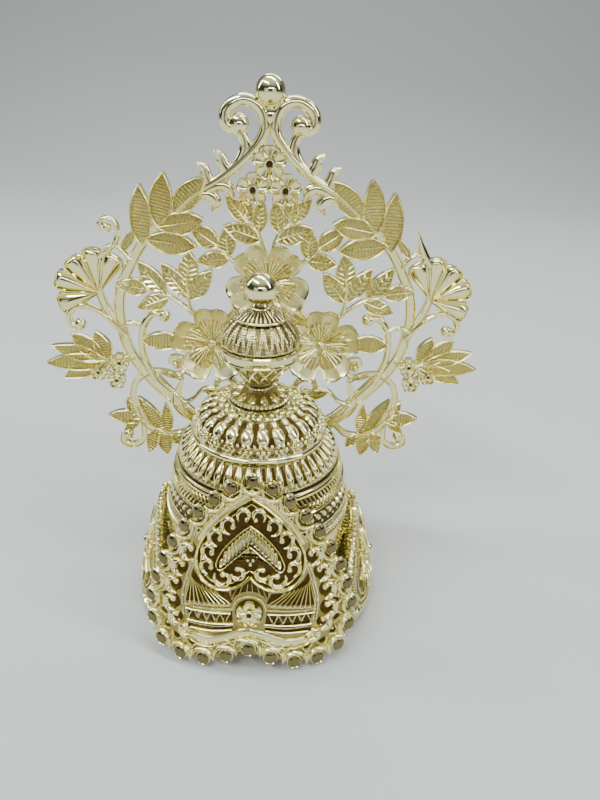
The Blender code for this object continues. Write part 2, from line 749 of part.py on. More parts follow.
# small five-petalled flowers: place and radius
SMALL_FLOWERS = [((0, 88.8), 3.4), ((3.3, 83.8), 3.3), ((33.6, 45), 2.3), ((38.6, 42.6), 2.0)]
SMALL_FLOWERS += [((34.6, 40.6), 2.1)]
FLOWER_SPRIG = ([(35.4, 45.2), (36.8, 42.4), (33.8, 40.2)], [1.2, 1.2])

# the three large flowers' places, and the turn of each
LARGE_FLOWERS = [((0.0, 65.2), math.pi), ((12.2, 51.0), 0.0), ((-12.2, 51.0), 0.0)]
FLOWER_SEAT_R = 5.2 * HALO_UNIT
SEAT_BAR_W = 3.0 * HALO_UNIT

# the tang behind the spire, from which bars go to the flowers' seats
TANG = [(-3.0, 25.4), (3.0, 25.4), (3.0, 44.0), (-3.0, 44.0)]
BAR_START = (0.0, 42.0)


def on_halo(point):
    """A point of the drawing, in metres above the collar's foot."""
    return point[0] * HALO_UNIT, (point[1] - 24.3) * HALO_UNIT


def halo_strand(side, points, widths):
    line = [on_halo((side * x, z)) for x, z in points]
    return strand(line, [w * HALO_UNIT for w in widths], 0.0, HALO_SHEET)


def halo_end(side, place, radius):
    points = disc_points(on_halo((side * place[0], place[1])), radius * HALO_UNIT, 7)
    return tapered(points, 0.0, HALO_SHEET * 1.7, 0.6)


def halo_plate(material):
    """The pierced sheet: every strand, leaf, lobe and seat joined into one."""
    solids = [prism([on_halo(p) for p in TANG], 0.0, HALO_SHEET * 0.9)]
    seats = [on_halo(place) for place, turn in LARGE_FLOWERS]
    start = on_halo(BAR_START)
    for seat in seats:
        solids.append(prism(disc_points(seat, FLOWER_SEAT_R, 9), 0.0, FLOWER_SEAT_T))
        solids.append(strand([start, seat], [SEAT_BAR_W, SEAT_BAR_W], 0.0, FLOWER_SEAT_T))
    for seat in seats[1:]:
        solids.append(strand([seats[0], seat], [SEAT_BAR_W, SEAT_BAR_W], 0.0, FLOWER_SEAT_T))
    for side in (1, -1):
        for points, widths in HALO_STRANDS:
            solids.append(halo_strand(side, points, widths))
        solids.append(halo_strand(side, *FLOWER_SPRIG))
        for base, tip, width in HALO_LEAVES:
            base, tip = on_halo((side * base[0], base[1])), on_halo((side * tip[0], tip[1]))
            solids.append(leaf(base, tip, width * HALO_UNIT, 0.0, HALO_SHEET * 0.6, HALO_SHEET * 1.2))
        foot = on_halo((side * FAN_FOOT[0], FAN_FOOT[1]))
        for tip in FAN_TIPS:
            solids.append(lobe(foot, on_halo((side * tip[0], tip[1])), FAN_LOBE, HALO_SHEET * 1.3))
        for place, radius in SCROLL_ENDS:
            solids.append(halo_end(side, place, radius))
        for place, radius in SMALL_FLOWERS:
            if place[0] > 0 or side > 0:
                points = star_points(on_halo((side * place[0], place[1])), radius * HALO_UNIT, 0.62)
                solids.append(tapered(points, 0.0, HALO_SHEET * 1.4, 0.7))
    solids.append(halo_strand(-1, *LEFT_CURL))
    solids.append(halo_end(-1, *LEFT_CURL_END))
    solids.append(halo_strand(1, *RIGHT_STUMP))
    trefoil = [on_halo(p) for p in ((-4, 83), (4, 83), (1, 88), (-1, 88))]
    solids.append(prism(trefoil, 0.0, HALO_SHEET * 0.5))
    return joined("halo_plate", solids, material)


def halo_ball(material):
    mesh = bpy.data.meshes.new("halo_ball")
    shape = bmesh.new()
    bmesh.ops.create_uvsphere(shape, u_segments=14, v_segments=9, radius=HALO_BALL_R)
    shape.to_mesh(mesh)
    shape.free()
    obj = new_object("halo_ball", mesh, material)
    scroll_top = on_halo((0, 98.3))[1]
    obj.location = (0, -HALO_SHEET / 2, scroll_top + SEAM + HALO_BALL_R)
    return obj


def large_flower(name, place, turn, material):
    """Five cupped petals round a boss, riveted to the halo's face."""
    petals, per_petal = 5, 4
    spokes = petals * per_petal
    rings = [(0.0, 0.0), (0.45, 0.10), (1.0, 0.22)]
    mesh = bpy.data.meshes.new(name)
    vertices, faces = [], []
    for lift in (FLOWER_SHEET, 0.0):
        vertices.append((0.0, -lift, 0.0))
        for share, cup in rings[1:]:
            for k in range(spokes):
                angle = 2 * math.pi * k / spokes
                reach = 0.74 + 0.26 * abs(math.cos(petals / 2 * angle)) if share == 1.0 else 0.9
                radius = FLOWER_R * share * reach
                angle += math.pi / 2 + turn
                vertices.append((radius * math.cos(angle), -lift - cup * FLOWER_R, radius * math.sin(angle)))
    per_skin = 1 + 2 * spokes
    for skin in (0, 1):
        start = skin * per_skin
        for k in range(spokes):
            j = (k + 1) % spokes
            faces.append([start, start + 1 + k, start + 1 + j])
            faces.append([start + 1 + k, start + 1 + spokes + k, start + 1 + spokes + j, start + 1 + j])
    for k in range(spokes):
        j = (k + 1) % spokes
        rim = 1 + spokes
        faces.append([rim + k, per_skin + rim + k, per_skin + rim + j, rim + j])
    mesh.from_pydata(vertices, [], faces)
    outward(mesh)
    flower = new_object(name, mesh)
    boss = tapered(disc_points((0.0, 0.0), FLOWER_BOSS_R, 8), FLOWER_SHEET / 2, FLOWER_BOSS_R * 1.5, 0.6)
    obj = joined(name, [flower, boss], material)
    across, up = on_halo(place)
    obj.location = (across, -FLOWER_SEAT_T - SEAM, up)
    return obj


def bracket(material):
    """Joins the halo's foot to the back of the collar. It follows the collar's slope and the halo's turn."""
    mesh = bpy.data.meshes.new("halo_bracket")
    half = BRACKET_W / 2
    low, high = COLLAR_Z + ROPE_H, COLLAR_Z + ROPE_H + BRACKET_H
    steps = 6
    vertices = []
    back = HALO_Y - SEAM
    for z in (low, high):
        seat = COLLAR_FOOT_R + ROPE + SEAM - (z - COLLAR_Z) * math.tan(LEAN)
        for k in range(steps + 1):
            x = -half + 2 * half * k / steps
            vertices.append((x, math.sqrt(seat**2 - x**2), z))
        for x in (half, -half):
            vertices.append((x, back + x * math.tan(HALO_TURN), z))
    ring = steps + 3
    faces = [list(range(ring)), list(range(2 * ring - 1, ring - 1, -1))]
    for i in range(ring):
        j = (i + 1) % ring
        faces.append([i, ring + i, ring + j, j])
    mesh.from_pydata(vertices, [], faces)
    outward(mesh)
    return new_object("halo_bracket", mesh, material)


def centre_on_origin(root):
    """Moves the crown so that its origin is under the middle of its box."""
    bpy.context.view_layer.update()
    meshes = [o for o in root.children_recursive if o.type == "MESH"]
    points = [o.matrix_world @ v.co for o in meshes for v in o.data.vertices]
    for axis in (0, 1):
        values = [point[axis] for point in points]
        root.location[axis] -= (min(values) + max(values)) / 2


def main():
    for obj in list(bpy.data.objects):
        bpy.data.objects.remove(obj)
    polished = gold("polished gold", (0.93, 0.75, 0.36), 0.12)
    stamped = gold("stamped gold", (0.90, 0.74, 0.38), 0.28)
    sheet = gold("pierced gold sheet", (0.91, 0.75, 0.39), 0.2)

    pieces = [
        skirt(stamped),
        collar(stamped),
        petal_band(stamped),
        dome(stamped),
        neck(polished),
        spire_shell("spire_basket", BASKET_FOOT_R, BASKET_TOP_R, BASKET_Z, BASKET_H, 0.2 * MM, stamped),
        spire_band(polished),
        spire_shell(
            "spire_lantern", LANTERN_FOOT_R, LANTERN_TOP_R, LANTERN_Z, LANTERN_H, LANTERN_BULGE, stamped
        ),
        cap(stamped),
        finial(polished),
        front_plate(stamped),
        side_plate("side_plate_right", math.pi / 2, stamped),
        side_plate("side_plate_left", -math.pi / 2, stamped),
        bracket(polished),
    ]
    halo = bpy.data.objects.new("halo frame", None)
    bpy.context.scene.collection.objects.link(halo)
    halo.location = (0, HALO_Y + HALO_SHEET, COLLAR_Z)
    halo.rotation_euler.z = HALO_TURN
    on_frame = [halo_plate(sheet), halo_ball(polished)]
    names = ("flower_top", "flower_right", "flower_left")
    for name, (place, turn) in zip(names, LARGE_FLOWERS):
        on_frame.append(large_flower(name, place, turn, stamped))
    for piece in on_frame:
        piece.parent = halo

    root = bpy.data.objects.new("crown frame", None)
    bpy.context.scene.collection.objects.link(root)
    for piece in [*pieces, halo]:
        piece.parent = root
    centre_on_origin(root)
    crown = bpy.data.collections.new("deity crown")
    bpy.context.scene.collection.children.link(crown)
    for piece in [*pieces, *on_frame]:
        bpy.context.scene.collection.objects.unlink(piece)
        crown.objects.link(piece)


main()
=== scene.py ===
"""Looks of the deity crown: beaded wire, filigree, carved leaves and polished studs in gold-plated brass.

Lengths are millimetres until a piece becomes a mesh. Ornament is drawn flat, with points as
(across, up, depth) and depth towards the viewer, then wrapped round the tier or plate that carries it.
"""

import math

import bmesh
import bpy
from mathutils import Matrix, Vector


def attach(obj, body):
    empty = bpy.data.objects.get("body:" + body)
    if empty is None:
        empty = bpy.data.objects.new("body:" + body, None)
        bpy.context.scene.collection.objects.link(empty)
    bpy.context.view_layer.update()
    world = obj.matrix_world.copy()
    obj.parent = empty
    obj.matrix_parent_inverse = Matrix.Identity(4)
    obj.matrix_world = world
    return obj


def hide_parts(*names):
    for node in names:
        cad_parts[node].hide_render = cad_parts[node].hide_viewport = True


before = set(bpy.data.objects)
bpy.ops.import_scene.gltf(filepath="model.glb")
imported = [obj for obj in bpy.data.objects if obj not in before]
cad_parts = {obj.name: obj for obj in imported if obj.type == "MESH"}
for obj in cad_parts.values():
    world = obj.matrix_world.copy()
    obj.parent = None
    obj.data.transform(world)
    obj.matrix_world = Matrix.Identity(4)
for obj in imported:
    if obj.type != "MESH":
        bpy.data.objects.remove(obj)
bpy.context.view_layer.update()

MM = 0.001

# Sheet, seams and mouldings
WALL = 0.8
SEAM = 0.3
ROPE = 0.4
ROPE_H = 1.1

# Tiers from the foot up
SKIRT_H = 24.0
COLLAR_FOOT_R = 19.1
COLLAR_TOP_R = 16.4
COLLAR_H = 11.3
PETAL_H = 4.3
DOME_R = 13.1
DOME_RIM_H = 1.1
DOME_H = 7.2
DOME_TOP_R = 6.2
FLUTES = 24
BRAIDS = 112
COLLAR_BEADS = 66
DOME_SCALES = 20

# Spire
NECK_H = 4.2
NECK_R = 2.3
NECK_PETALS = 12
BASKET_FOOT_R = 3.4
BASKET_TOP_R = 6.0
BASKET_H = 4.2
BASKET_WIRES = 12
BAND_R = 7.9
BAND_H = 2.6
LANTERN_FOOT_R = 7.4
LANTERN_TOP_R = 4.8
LANTERN_H = 4.5
LANTERN_BULGE = 0.9
LANTERN_LOOPS = 22
CAP_H = 2.1
CAP_WEDGES = 18
BALL_R = 3.05
SHANK_R = 1.4
SHANK_H = 0.3

# Plates
PLATE_Z = 0.7
FRONT_H = 40.0
FRONT_BEND_R = 40.0
FRONT_STUDS = 14
MIRROR_R = 1.28
SIDE_H = 23.5
SIDE_BEND_R = 25.0

# Halo
HALO_SHEET = 0.9
HALO_TOP = 98.3
HALO_BALL_R = 2.9
FLOWER_R = 9.1
FLOWER_SHEET = 0.6
FLOWER_SEAT_T = 1.3
HALO_TURN = math.radians(3.5)
BRACKET_W = 7.0
BRACKET_H = 8.0
BRACKET_T = 1.2

# Heights of the tiers' feet
COLLAR_Z = SKIRT_H + SEAM
PETAL_Z = COLLAR_Z + COLLAR_H + SEAM
DOME_Z = PETAL_Z + PETAL_H + SEAM
NECK_Z = DOME_Z + DOME_H + SEAM
BASKET_Z = NECK_Z + NECK_H + SEAM
BAND_Z = BASKET_Z + BASKET_H + SEAM
LANTERN_Z = BAND_Z + BAND_H + SEAM
CAP_Z = LANTERN_Z + LANTERN_H + SEAM
FINIAL_Z = CAP_Z + CAP_H + SEAM

LEAN = math.atan2(COLLAR_FOOT_R - COLLAR_TOP_R, COLLAR_H)
PLATE_FOOT = COLLAR_FOOT_R + ROPE + SEAM + (COLLAR_Z - PLATE_Z) * math.tan(LEAN)
SKIRT_FOOT_R = (COLLAR_FOOT_R + PLATE_FOOT) / 2
HALO_Y = COLLAR_FOOT_R + ROPE + SEAM + BRACKET_T + SEAM

# The crown's axis, seen from the middle of its box
AXIS = Vector((-0.016, 0.569, 0.0))


# ---------------------------------------------------------------- gold


def new_group(name, inputs, outputs):
    group = bpy.data.node_groups.new(name, "ShaderNodeTree")
    for label, kind, value in inputs:
        socket = group.interface.new_socket(name=label, in_out="INPUT", socket_type=kind)
        socket.default_value = value
    for label, kind in outputs:
        group.interface.new_socket(name=label, in_out="OUTPUT", socket_type=kind)
    return group, group.nodes.new("NodeGroupInput"), group.nodes.new("NodeGroupOutput")


def add_node(tree, kind, links=(), **settings):
    """A node with its settings, fed by (input, source socket or value) pairs."""
    node = tree.nodes.new(kind)
    for key, value in settings.items():
        setattr(node, key, value)
    for key, source in links:
        if hasattr(source, "is_output"):
            tree.links.new(source, node.inputs[key])
        else:
            node.inputs[key].default_value = source
    return node


def noise(tree, where, scale, detail=2.0):
    links = [("Vector", where), ("Scale", scale), ("Detail", detail)]
    return add_node(tree, "ShaderNodeTexNoise", links).outputs["Fac"]


def mixed(tree, kind, share, low, high):
    """Two colours (RGBA) or two numbers (FLOAT) mixed by a share."""
    first, out = (6, 2) if kind == "RGBA" else (2, 0)
    links = [(0, share), (first, low), (first + 1, high)]
    return add_node(tree, "ShaderNodeMix", links, data_type=kind).outputs[out]


def plating_group():
    """Uneven gold plating: warmer and paler clouds, brown film in patches, and how dull each place is."""
    inputs = [
        ("Gold", "NodeSocketColor", (0.9, 0.7, 0.3, 1)),
        ("Pale Gold", "NodeSocketColor", (0.95, 0.85, 0.5, 1)),
        ("Film", "NodeSocketColor", (0.3, 0.17, 0.04, 1)),
        ("Cloud Scale", "NodeSocketFloat", 120.0),
        ("Film Amount", "NodeSocketFloat", 0.3),
        ("Shine", "NodeSocketFloat", 0.12),
        ("Dull", "NodeSocketFloat", 0.3),
    ]
    outputs = [("Colour", "NodeSocketColor"), ("Roughness", "NodeSocketFloat")]
    group, given, out = new_group("gold plating", inputs, outputs)
    given = given.outputs
    where = add_node(group, "ShaderNodeTexCoord").outputs["Object"]
    clouds = noise(group, where, given["Cloud Scale"], 3.0)
    specks = noise(group, where, 900.0, 4.0)
    tone = mixed(group, "RGBA", clouds, given["Gold"], given["Pale Gold"])
    limits = [("From Min", 0.52), ("From Max", 0.72), ("To Min", 0.0), ("To Max", given["Film Amount"])]
    patches = add_node(group, "ShaderNodeMapRange", [("Value", specks), *limits]).outputs["Result"]
    filmed = mixed(group, "RGBA", patches, tone, given["Film"])
    dulled = mixed(group, "FLOAT", specks, given["Shine"], given["Dull"])
    group.links.new(filmed, out.inputs["Colour"])
    group.links.new(dulled, out.inputs["Roughness"])
    return group


def surface_group():
    """The hand of the work on the metal: soft dents and grit, as one height."""
    inputs = [
        ("Dents", "NodeSocketFloat", 0.3),
        ("Dent Scale", "NodeSocketFloat", 350.0),
        ("Grit", "NodeSocketFloat", 0.1),
        ("Grit Scale", "NodeSocketFloat", 4000.0),
    ]
    group, given, out = new_group("worked surface", inputs, [("Height", "NodeSocketFloat")])
    given = given.outputs
    where = add_node(group, "ShaderNodeTexCoord").outputs["Object"]
    dents = noise(group, where, given["Dent Scale"])
    grit = noise(group, where, given["Grit Scale"])
    soft = add_node(group, "ShaderNodeMath", [(0, dents), (1, given["Dents"])], operation="MULTIPLY")
    links = [(0, grit), (1, given["Grit"]), (2, soft.outputs[0])]
    both = add_node(group, "ShaderNodeMath", links, operation="MULTIPLY_ADD")
    group.links.new(both.outputs[0], out.inputs["Height"])
    return group


PLATING = plating_group()
SURFACE = surface_group()
BUMP_HEIGHT = 0.0002

LEMON = (0.92, 0.79, 0.33)
PALE = (0.95, 0.93, 0.56)
DEEP = (0.88, 0.71, 0.25)
BROWN = (0.24, 0.12, 0.03, 1)


def gold(name, shades, film, shine, dents, grit, relief, clouds=120.0, grit_scale=4000.0):
    """A gold that clouds from one shade to the other, under patches of brown film.

    shine is the least and the most roughness, and dents how strong and how close they are."""
    material = bpy.data.materials.new(name)
    material.use_nodes = True
    tree = material.node_tree
    shader = tree.nodes["Principled BSDF"]
    shader.inputs["Metallic"].default_value = 1.0
    plating = {"Gold": (*shades[0], 1), "Pale Gold": (*shades[1], 1), "Film": BROWN, "Film Amount": film}
    plating |= {"Shine": shine[0], "Dull": shine[1], "Cloud Scale": clouds}
    surface = {"Dents": dents[0], "Dent Scale": dents[1], "Grit": grit, "Grit Scale": grit_scale}
    coat = add_node(tree, "ShaderNodeGroup", node_tree=PLATING)
    for key, value in plating.items():
        coat.inputs[key].default_value = value
    hand = add_node(tree, "ShaderNodeGroup", node_tree=SURFACE)
    for key, value in surface.items():
        hand.inputs[key].default_value = value
    shape = [("Height", hand.outputs["Height"]), ("Strength", relief), ("Distance", BUMP_HEIGHT)]
    bump = add_node(tree, "ShaderNodeBump", shape)
    tree.links.new(coat.outputs["Colour"], shader.inputs["Base Color"])
    tree.links.new(coat.outputs["Roughness"], shader.inputs["Roughness"])
    tree.links.new(bump.outputs["Normal"], shader.inputs["Normal"])
    return material


POLISHED = gold("polished gold", (LEMON, PALE), 0.08, (0.05, 0.12), (0.25, 260.0), 0.02, 0.12)
BEADED = gold("beaded gold", (LEMON, PALE), 0.12, (0.1, 0.24), (0.4, 900.0), 0.15, 0.25)
CARVED = gold("carved sheet gold", (DEEP, LEMON), 0.35, (0.1, 0.28), (0.4, 700.0), 0.2, 0.3)
FROSTED = gold("frosted gold", (LEMON, PALE), 0.2, (0.26, 0.42), (0.1, 400.0), 1.0, 0.16, 200.0, 5000.0)
SATIN_SHADES = (0.62, 0.5, 0.16), (0.84, 0.76, 0.36)
SATIN = gold("satin petal gold", SATIN_SHADES, 0.15, (0.14, 0.26), (0.2, 300.0), 0.05, 0.06)
# Darker gold for the sunk fields of the halo's leaves: painted shade between their ridges.
LEAF_FIELD_SHADE_TONES = (0.34, 0.28, 0.1), (0.68, 0.62, 0.28)
LEAF_FIELD_SHADE = gold("leaf field gold with painted shade", LEAF_FIELD_SHADE_TONES, 0.3, (0.16, 0.34), (0.4, 1100.0), 0.3, 0.4, 80.0)
# Dark gold for grounds behind beads, leaves and open work: painted shade where they lie in shadow.
PAINTED_SHADE_TONES = (0.14, 0.1, 0.035), (0.42, 0.34, 0.14)
PAINTED_SHADE_GOLD = gold("gold with painted shade", PAINTED_SHADE_TONES, 0.3, (0.18, 0.4), (0.4, 1100.0), 0.3, 0.4, 80.0)
# Recessed ground: duller gold with more brown film, and dark tones that paint the shade of the recess.
GROUND_FILM_AND_SHADE_TONES = (0.26, 0.21, 0.07), (0.54, 0.46, 0.19)
GROUND_FILM_AND_SHADE = gold("recessed gold ground, filmed, with painted shade", GROUND_FILM_AND_SHADE_TONES, 0.5, (0.2, 0.42), (0.5, 1400.0), 0.5, 0.5, 120.0, 6000.0)
# Glossy gold so dark that the mirror studs show a painted dark reflection.
MIRROR_DARK_REFLECTION_TONES = (0.13, 0.1, 0.04), (0.27, 0.23, 0.11)
MIRROR_PAINTED_DARK_REFLECTION = gold("mirror gold with painted dark reflection", MIRROR_DARK_REFLECTION_TONES, 0.1, (0.03, 0.08), (0.2, 300.0), 0.02, 0.1)
# Near black: painted shadow for slots, gaps, openings and grounds where only shade would show.
PAINTED_SHADOW_TONES = (0.03, 0.018, 0.006), (0.11, 0.07, 0.02)
PAINTED_SHADOW = gold("painted shadow gold", PAINTED_SHADOW_TONES, 0.3, (0.25, 0.5), (0.4, 1200.0), 0.4, 0.4)


# ---------------------------------------------------------------- casting


class Casting:
    """Points and faces of one piece, each face with the finish it takes."""

    def __init__(self, name, finishes):
        self.name = name
        self.finishes = finishes
        self.points = []
        self.faces = []
        self.finish_of = []
        self.finish = 0

    def use(self, finish):
        """The finish of what is added next."""
        self.finish = self.finishes.index(finish)

    def add(self, points, faces):
        start = len(self.points)
        self.points.extend(points)
        self.faces.extend(tuple(i + start for i in face) for face in faces)
        self.finish_of.extend([self.finish] * len(faces))

    def skin(self, rows, closed=False, looped=False, ends=False, bands=()):
        """Faces between rows of points. closed joins each row's ends, looped joins the last row to the first.

        bands gives the finish of the faces after each row, where it isn't the same for all."""
        width = len(rows[0])
        faces = []
        count = len(rows)
        for i in range(count if looped else count - 1):
            here, there = i * width, (i + 1) % count * width
            for k in range(width if closed else width - 1):
                j = (k + 1) % width
                faces.append((here + k, here + j, there + j, there + k))
        if ends:
            faces.append(tuple(range(width - 1, -1, -1)))
            faces.append(tuple(range((count - 1) * width, count * width)))
        self.add([point for row in rows for point in row], faces)
        start = len(self.finish_of) - len(faces)
        span = width if closed else width - 1
        for i, finish in enumerate(bands):
            self.finish_of[start + i * span : start + (i + 1) * span] = [self.finishes.index(finish)] * span

    def wrapped(self, place, since=0):
        """Moves all that was drawn since a count of points to its place on the crown."""
        self.points[since:] = [place(point) for point in self.points[since:]]

    def piece(self, *nodes, slot, sharp=38):
        """The finished mesh, which stands for the solid's nodes and rides with the crown."""
        mesh = bpy.data.meshes.new(self.name)
        mesh.from_pydata([tuple((Vector(p) + AXIS) * MM) for p in self.points], [], self.faces)
        for finish in self.finishes:
            mesh.materials.append(finish)
        mesh.polygons.foreach_set("material_index", self.finish_of)
        shape = bmesh.new()
        shape.from_mesh(mesh)
        bmesh.ops.recalc_face_normals(shape, faces=shape.faces)
        shape.to_mesh(mesh)
        shape.free()
        mesh.shade_smooth()
        mesh.set_sharp_from_angle(angle=math.radians(sharp))
        obj = bpy.data.objects.new(self.name, mesh)
        bpy.context.scene.collection.objects.link(obj)
        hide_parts(*nodes)
        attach(obj, "root")
        return obj


def smooth_line(points, per_span):
    """Points along a smooth curve through the ones given, in two or three dimensions."""
    knots = [Vector(p) for p in points]
    knots = [2 * knots[0] - knots[1], *knots, 2 * knots[-1] - knots[-2]]
    line = []
    for a, b, c, d in zip(knots, knots[1:], knots[2:], knots[3:]):
        for step in range(per_span):
            t = step / per_span
            bend = (2 * a - 5 * b + 4 * c - d) * t**2
            line.append(0.5 * (2 * b + (c - a) * t + bend + (3 * b - a - 3 * c + d) * t**3))
    return [*line, knots[-2]]


def spaced(line, count):
    """count + 1 points at even distances along a line."""
    lengths = [(b - a).length for a, b in zip(line, line[1:])]
    total = sum(lengths)
    out = []
    for k in range(count + 1):
        left = total * k / count
        i = 0
        while i < len(lengths) - 1 and left > lengths[i]:
            left -= lengths[i]
            i += 1
        out.append(line[i].lerp(line[i + 1], min(left / max(lengths[i], 1e-9), 1.0)))
    return out


def length_of(line):
    return sum((b - a).length for a, b in zip(line, line[1:]))


def evenly(points, pitch, per_span=6):
    """A smooth line through the points, cut at about one pitch."""
    line = smooth_line(points, per_span)
    return spaced(line, max(2, round(length_of(line) / pitch)))


def between(values, t):
    """The value at t, from 0 to 1, along a list of evenly spread ones."""
    place = t * (len(values) - 1)
    k = min(int(place), len(values) - 2)
    return values[k] + (values[k + 1] - values[k]) * (place - k)


def bead(casting, place, radius, depth, sides=8, squash=1.0):
    """A round bead with its middle at a depth."""
    rings = max(3, sides // 2)
    a, u = place[0], place[1]
    points = [(a, u, depth - radius * squash)]
    for i in range(1, rings):
        tilt = -math.pi / 2 + math.pi * i / rings
        ring = radius * math.cos(tilt)
        high = depth + radius * squash * math.sin(tilt)
        for k in range(sides):
            turn = 2 * math.pi * k / sides
            points.append((a + ring * math.cos(turn), u + ring * math.sin(turn), high))
    points.append((a, u, depth + radius * squash))
    faces = []
    for k in range(sides):
        j = (k + 1) % sides
        faces.append((0, 1 + j, 1 + k))
        for i in range(rings - 2):
            low = 1 + i * sides
            faces.append((low + k, low + j, low + sides + j, low + sides + k))
        faces.append((1 + (rings - 2) * sides + k, 1 + (rings - 2) * sides + j, len(points) - 1))
    casting.add(points, faces)


def stud(casting, place, profile, sides=20, stretch=1.0):
    """A turned boss: profile gives (radius, depth) from its outer foot to its middle. It may be an oval."""
    turns = [2 * math.pi * k / sides for k in range(sides)]
    a, u = place[0], place[1]
    rows = []
    for radius, depth in profile:
        rows.append([(a + radius * math.cos(t), u + radius * stretch * math.sin(t), depth) for t in turns])
    casting.skin(rows, closed=True, ends=True)


def dome_profile(radius, foot, rise, steps=6):
    """A quarter round from the edge to the middle, for a stud."""
    tilts = [math.pi / 2 * k / steps for k in range(steps + 1)]
    return [(max(radius * math.cos(t), 0.02), foot + rise * math.sin(t)) for t in tilts]


def hoop(radius, height, thick, sides):
    """The round section of a ring, for the lathe."""
    turns = [2 * math.pi * k / sides for k in range(sides)]
    return [(radius + thick * math.cos(t), height + thick * math.sin(t)) for t in turns]


def bead_row(casting, line, radius, depth, gap=1.02, sides=6, looped=False):
    """Beads side by side along a flat line."""
    count = max(1, round(length_of(line) / (2 * radius * gap)))
    seats = spaced(line, count)
    for seat in seats[:-1] if looped else seats:
        bead(casting, seat, radius, depth, sides)


def wire(casting, line, radii, depth=0.0, sides=8, looped=False):
    """A round wire along a line, flat or in space. radii run evenly from its start to its end."""
    path = [Vector((p[0], p[1], (p[2] if len(p) > 2 else 0.0) + depth)) for p in line]
    count = len(path)
    rows = []
    up = Vector((0.0, 0.0, 1.0))
    for i, here in enumerate(path):
        if looped:
            along = path[(i + 1) % count] - path[i - 1]
        else:
            along = path[min(i + 1, count - 1)] - path[max(i - 1, 0)]
        along.normalize()
        side = along.cross(up)
        side = side.normalized() if side.length > 1e-6 else Vector((1.0, 0.0, 0.0))
        over = side.cross(along)
        radius = between(radii, i / max(count - 1, 1))
        turns = [2 * math.pi * k / sides for k in range(sides)]
        rows.append([tuple(here + (side * math.cos(t) + over * math.sin(t)) * radius) for t in turns])
    casting.skin(rows, closed=True, looped=looped, ends=not looped)


def twist(casting, line, radius, pitch, depth=0.0, looped=False):
    """Two wires twisted into a rope along a flat line."""
    steps = 8 * max(1, round(length_of(line) / pitch))
    seats = spaced(line, steps)
    for start in (0.0, 0.5):
        path = []
        for i in range(steps + (0 if looped else 1)):
            along = seats[min(i + 1, steps)] - seats[max(i - 1, 0)]
            side = Vector((-along[1], along[0])).normalized()
            angle = 2 * math.pi * (i / 8 + start)
            spot = Vector((seats[i][0], seats[i][1])) + side * math.cos(angle) * radius * 0.55
            path.append((spot.x, spot.y, depth + math.sin(angle) * radius * 0.55))
        wire(casting, path, [radius * 0.6, radius * 0.6], sides=6, looped=looped)


def carved(casting, line, halves, relief, shares):
    """A closed relief along a flat line. halves run along it, and relief(t, s) gives the front's depth."""
    rows = []
    last = len(line) - 1
    for i, here in enumerate(line):
        along = line[min(i + 1, last)] - line[max(i - 1, 0)]
        half = max(between(halves, i / last) if len(halves) != last + 1 else halves[i], 0.04)
        side = Vector((-along.y, along.x)).normalized() * half
        row = [(here.x - side.x, here.y - side.y, 0.0)]
        row += [(here.x + side.x * s, here.y + side.y * s, relief(i / last, s)) for s in shares]
        row.append((here.x + side.x, here.y + side.y, 0.0))
        rows.append(row)
    casting.skin(rows, closed=True, ends=True)


# shares of half the width at which a relief is cut
ROUND = (-1, -0.92, -0.7, -0.38, 0, 0.38, 0.7, 0.92, 1)
RIMMED = (-1, -0.9, -0.72, -0.58, -0.2, 0.2, 0.58, 0.72, 0.9, 1)
COARSE = (-1, -0.6, 0, 0.6, 1)
FLAT = (-1, 0, 1)


def half_round(foot, rise):
    return lambda t, s: foot + rise * math.sqrt(max(1.0 - s * s, 0.0))


def stem_relief(foot, rise):
    """A raised rim down each side of a stem, about a flat field."""

    def relief(t, s):
        s = abs(s)
        if s > 0.85:
            return foot + rise * 0.72
        if s > 0.65:
            return foot + rise * 1.0
        return foot + rise * 0.5

    return relief


def ribbon(casting, points, widths, foot, rise, pitch=0.55, rimmed=False):
    """A stem or band along a smooth line, half round or with raised rims."""
    line = evenly(points, pitch)
    last = len(line) - 1
    halves = [between(widths, i / last) / 2 for i in range(last + 1)]
    relief, shares = (stem_relief, RIMMED) if rimmed else (half_round, ROUND)
    carved(casting, line, halves, relief(foot, rise), shares)


def ridge(casting, start, end, width, foot, rise):
    """A short raised line with a rounded top."""
    start, end = Vector(start), Vector(end)
    line = [start, start.lerp(end, 0.3), start.lerp(end, 0.7), end]
    carved(casting, line, [width * 0.3, width / 2, width / 2, width * 0.3], half_round(foot, rise), COARSE)


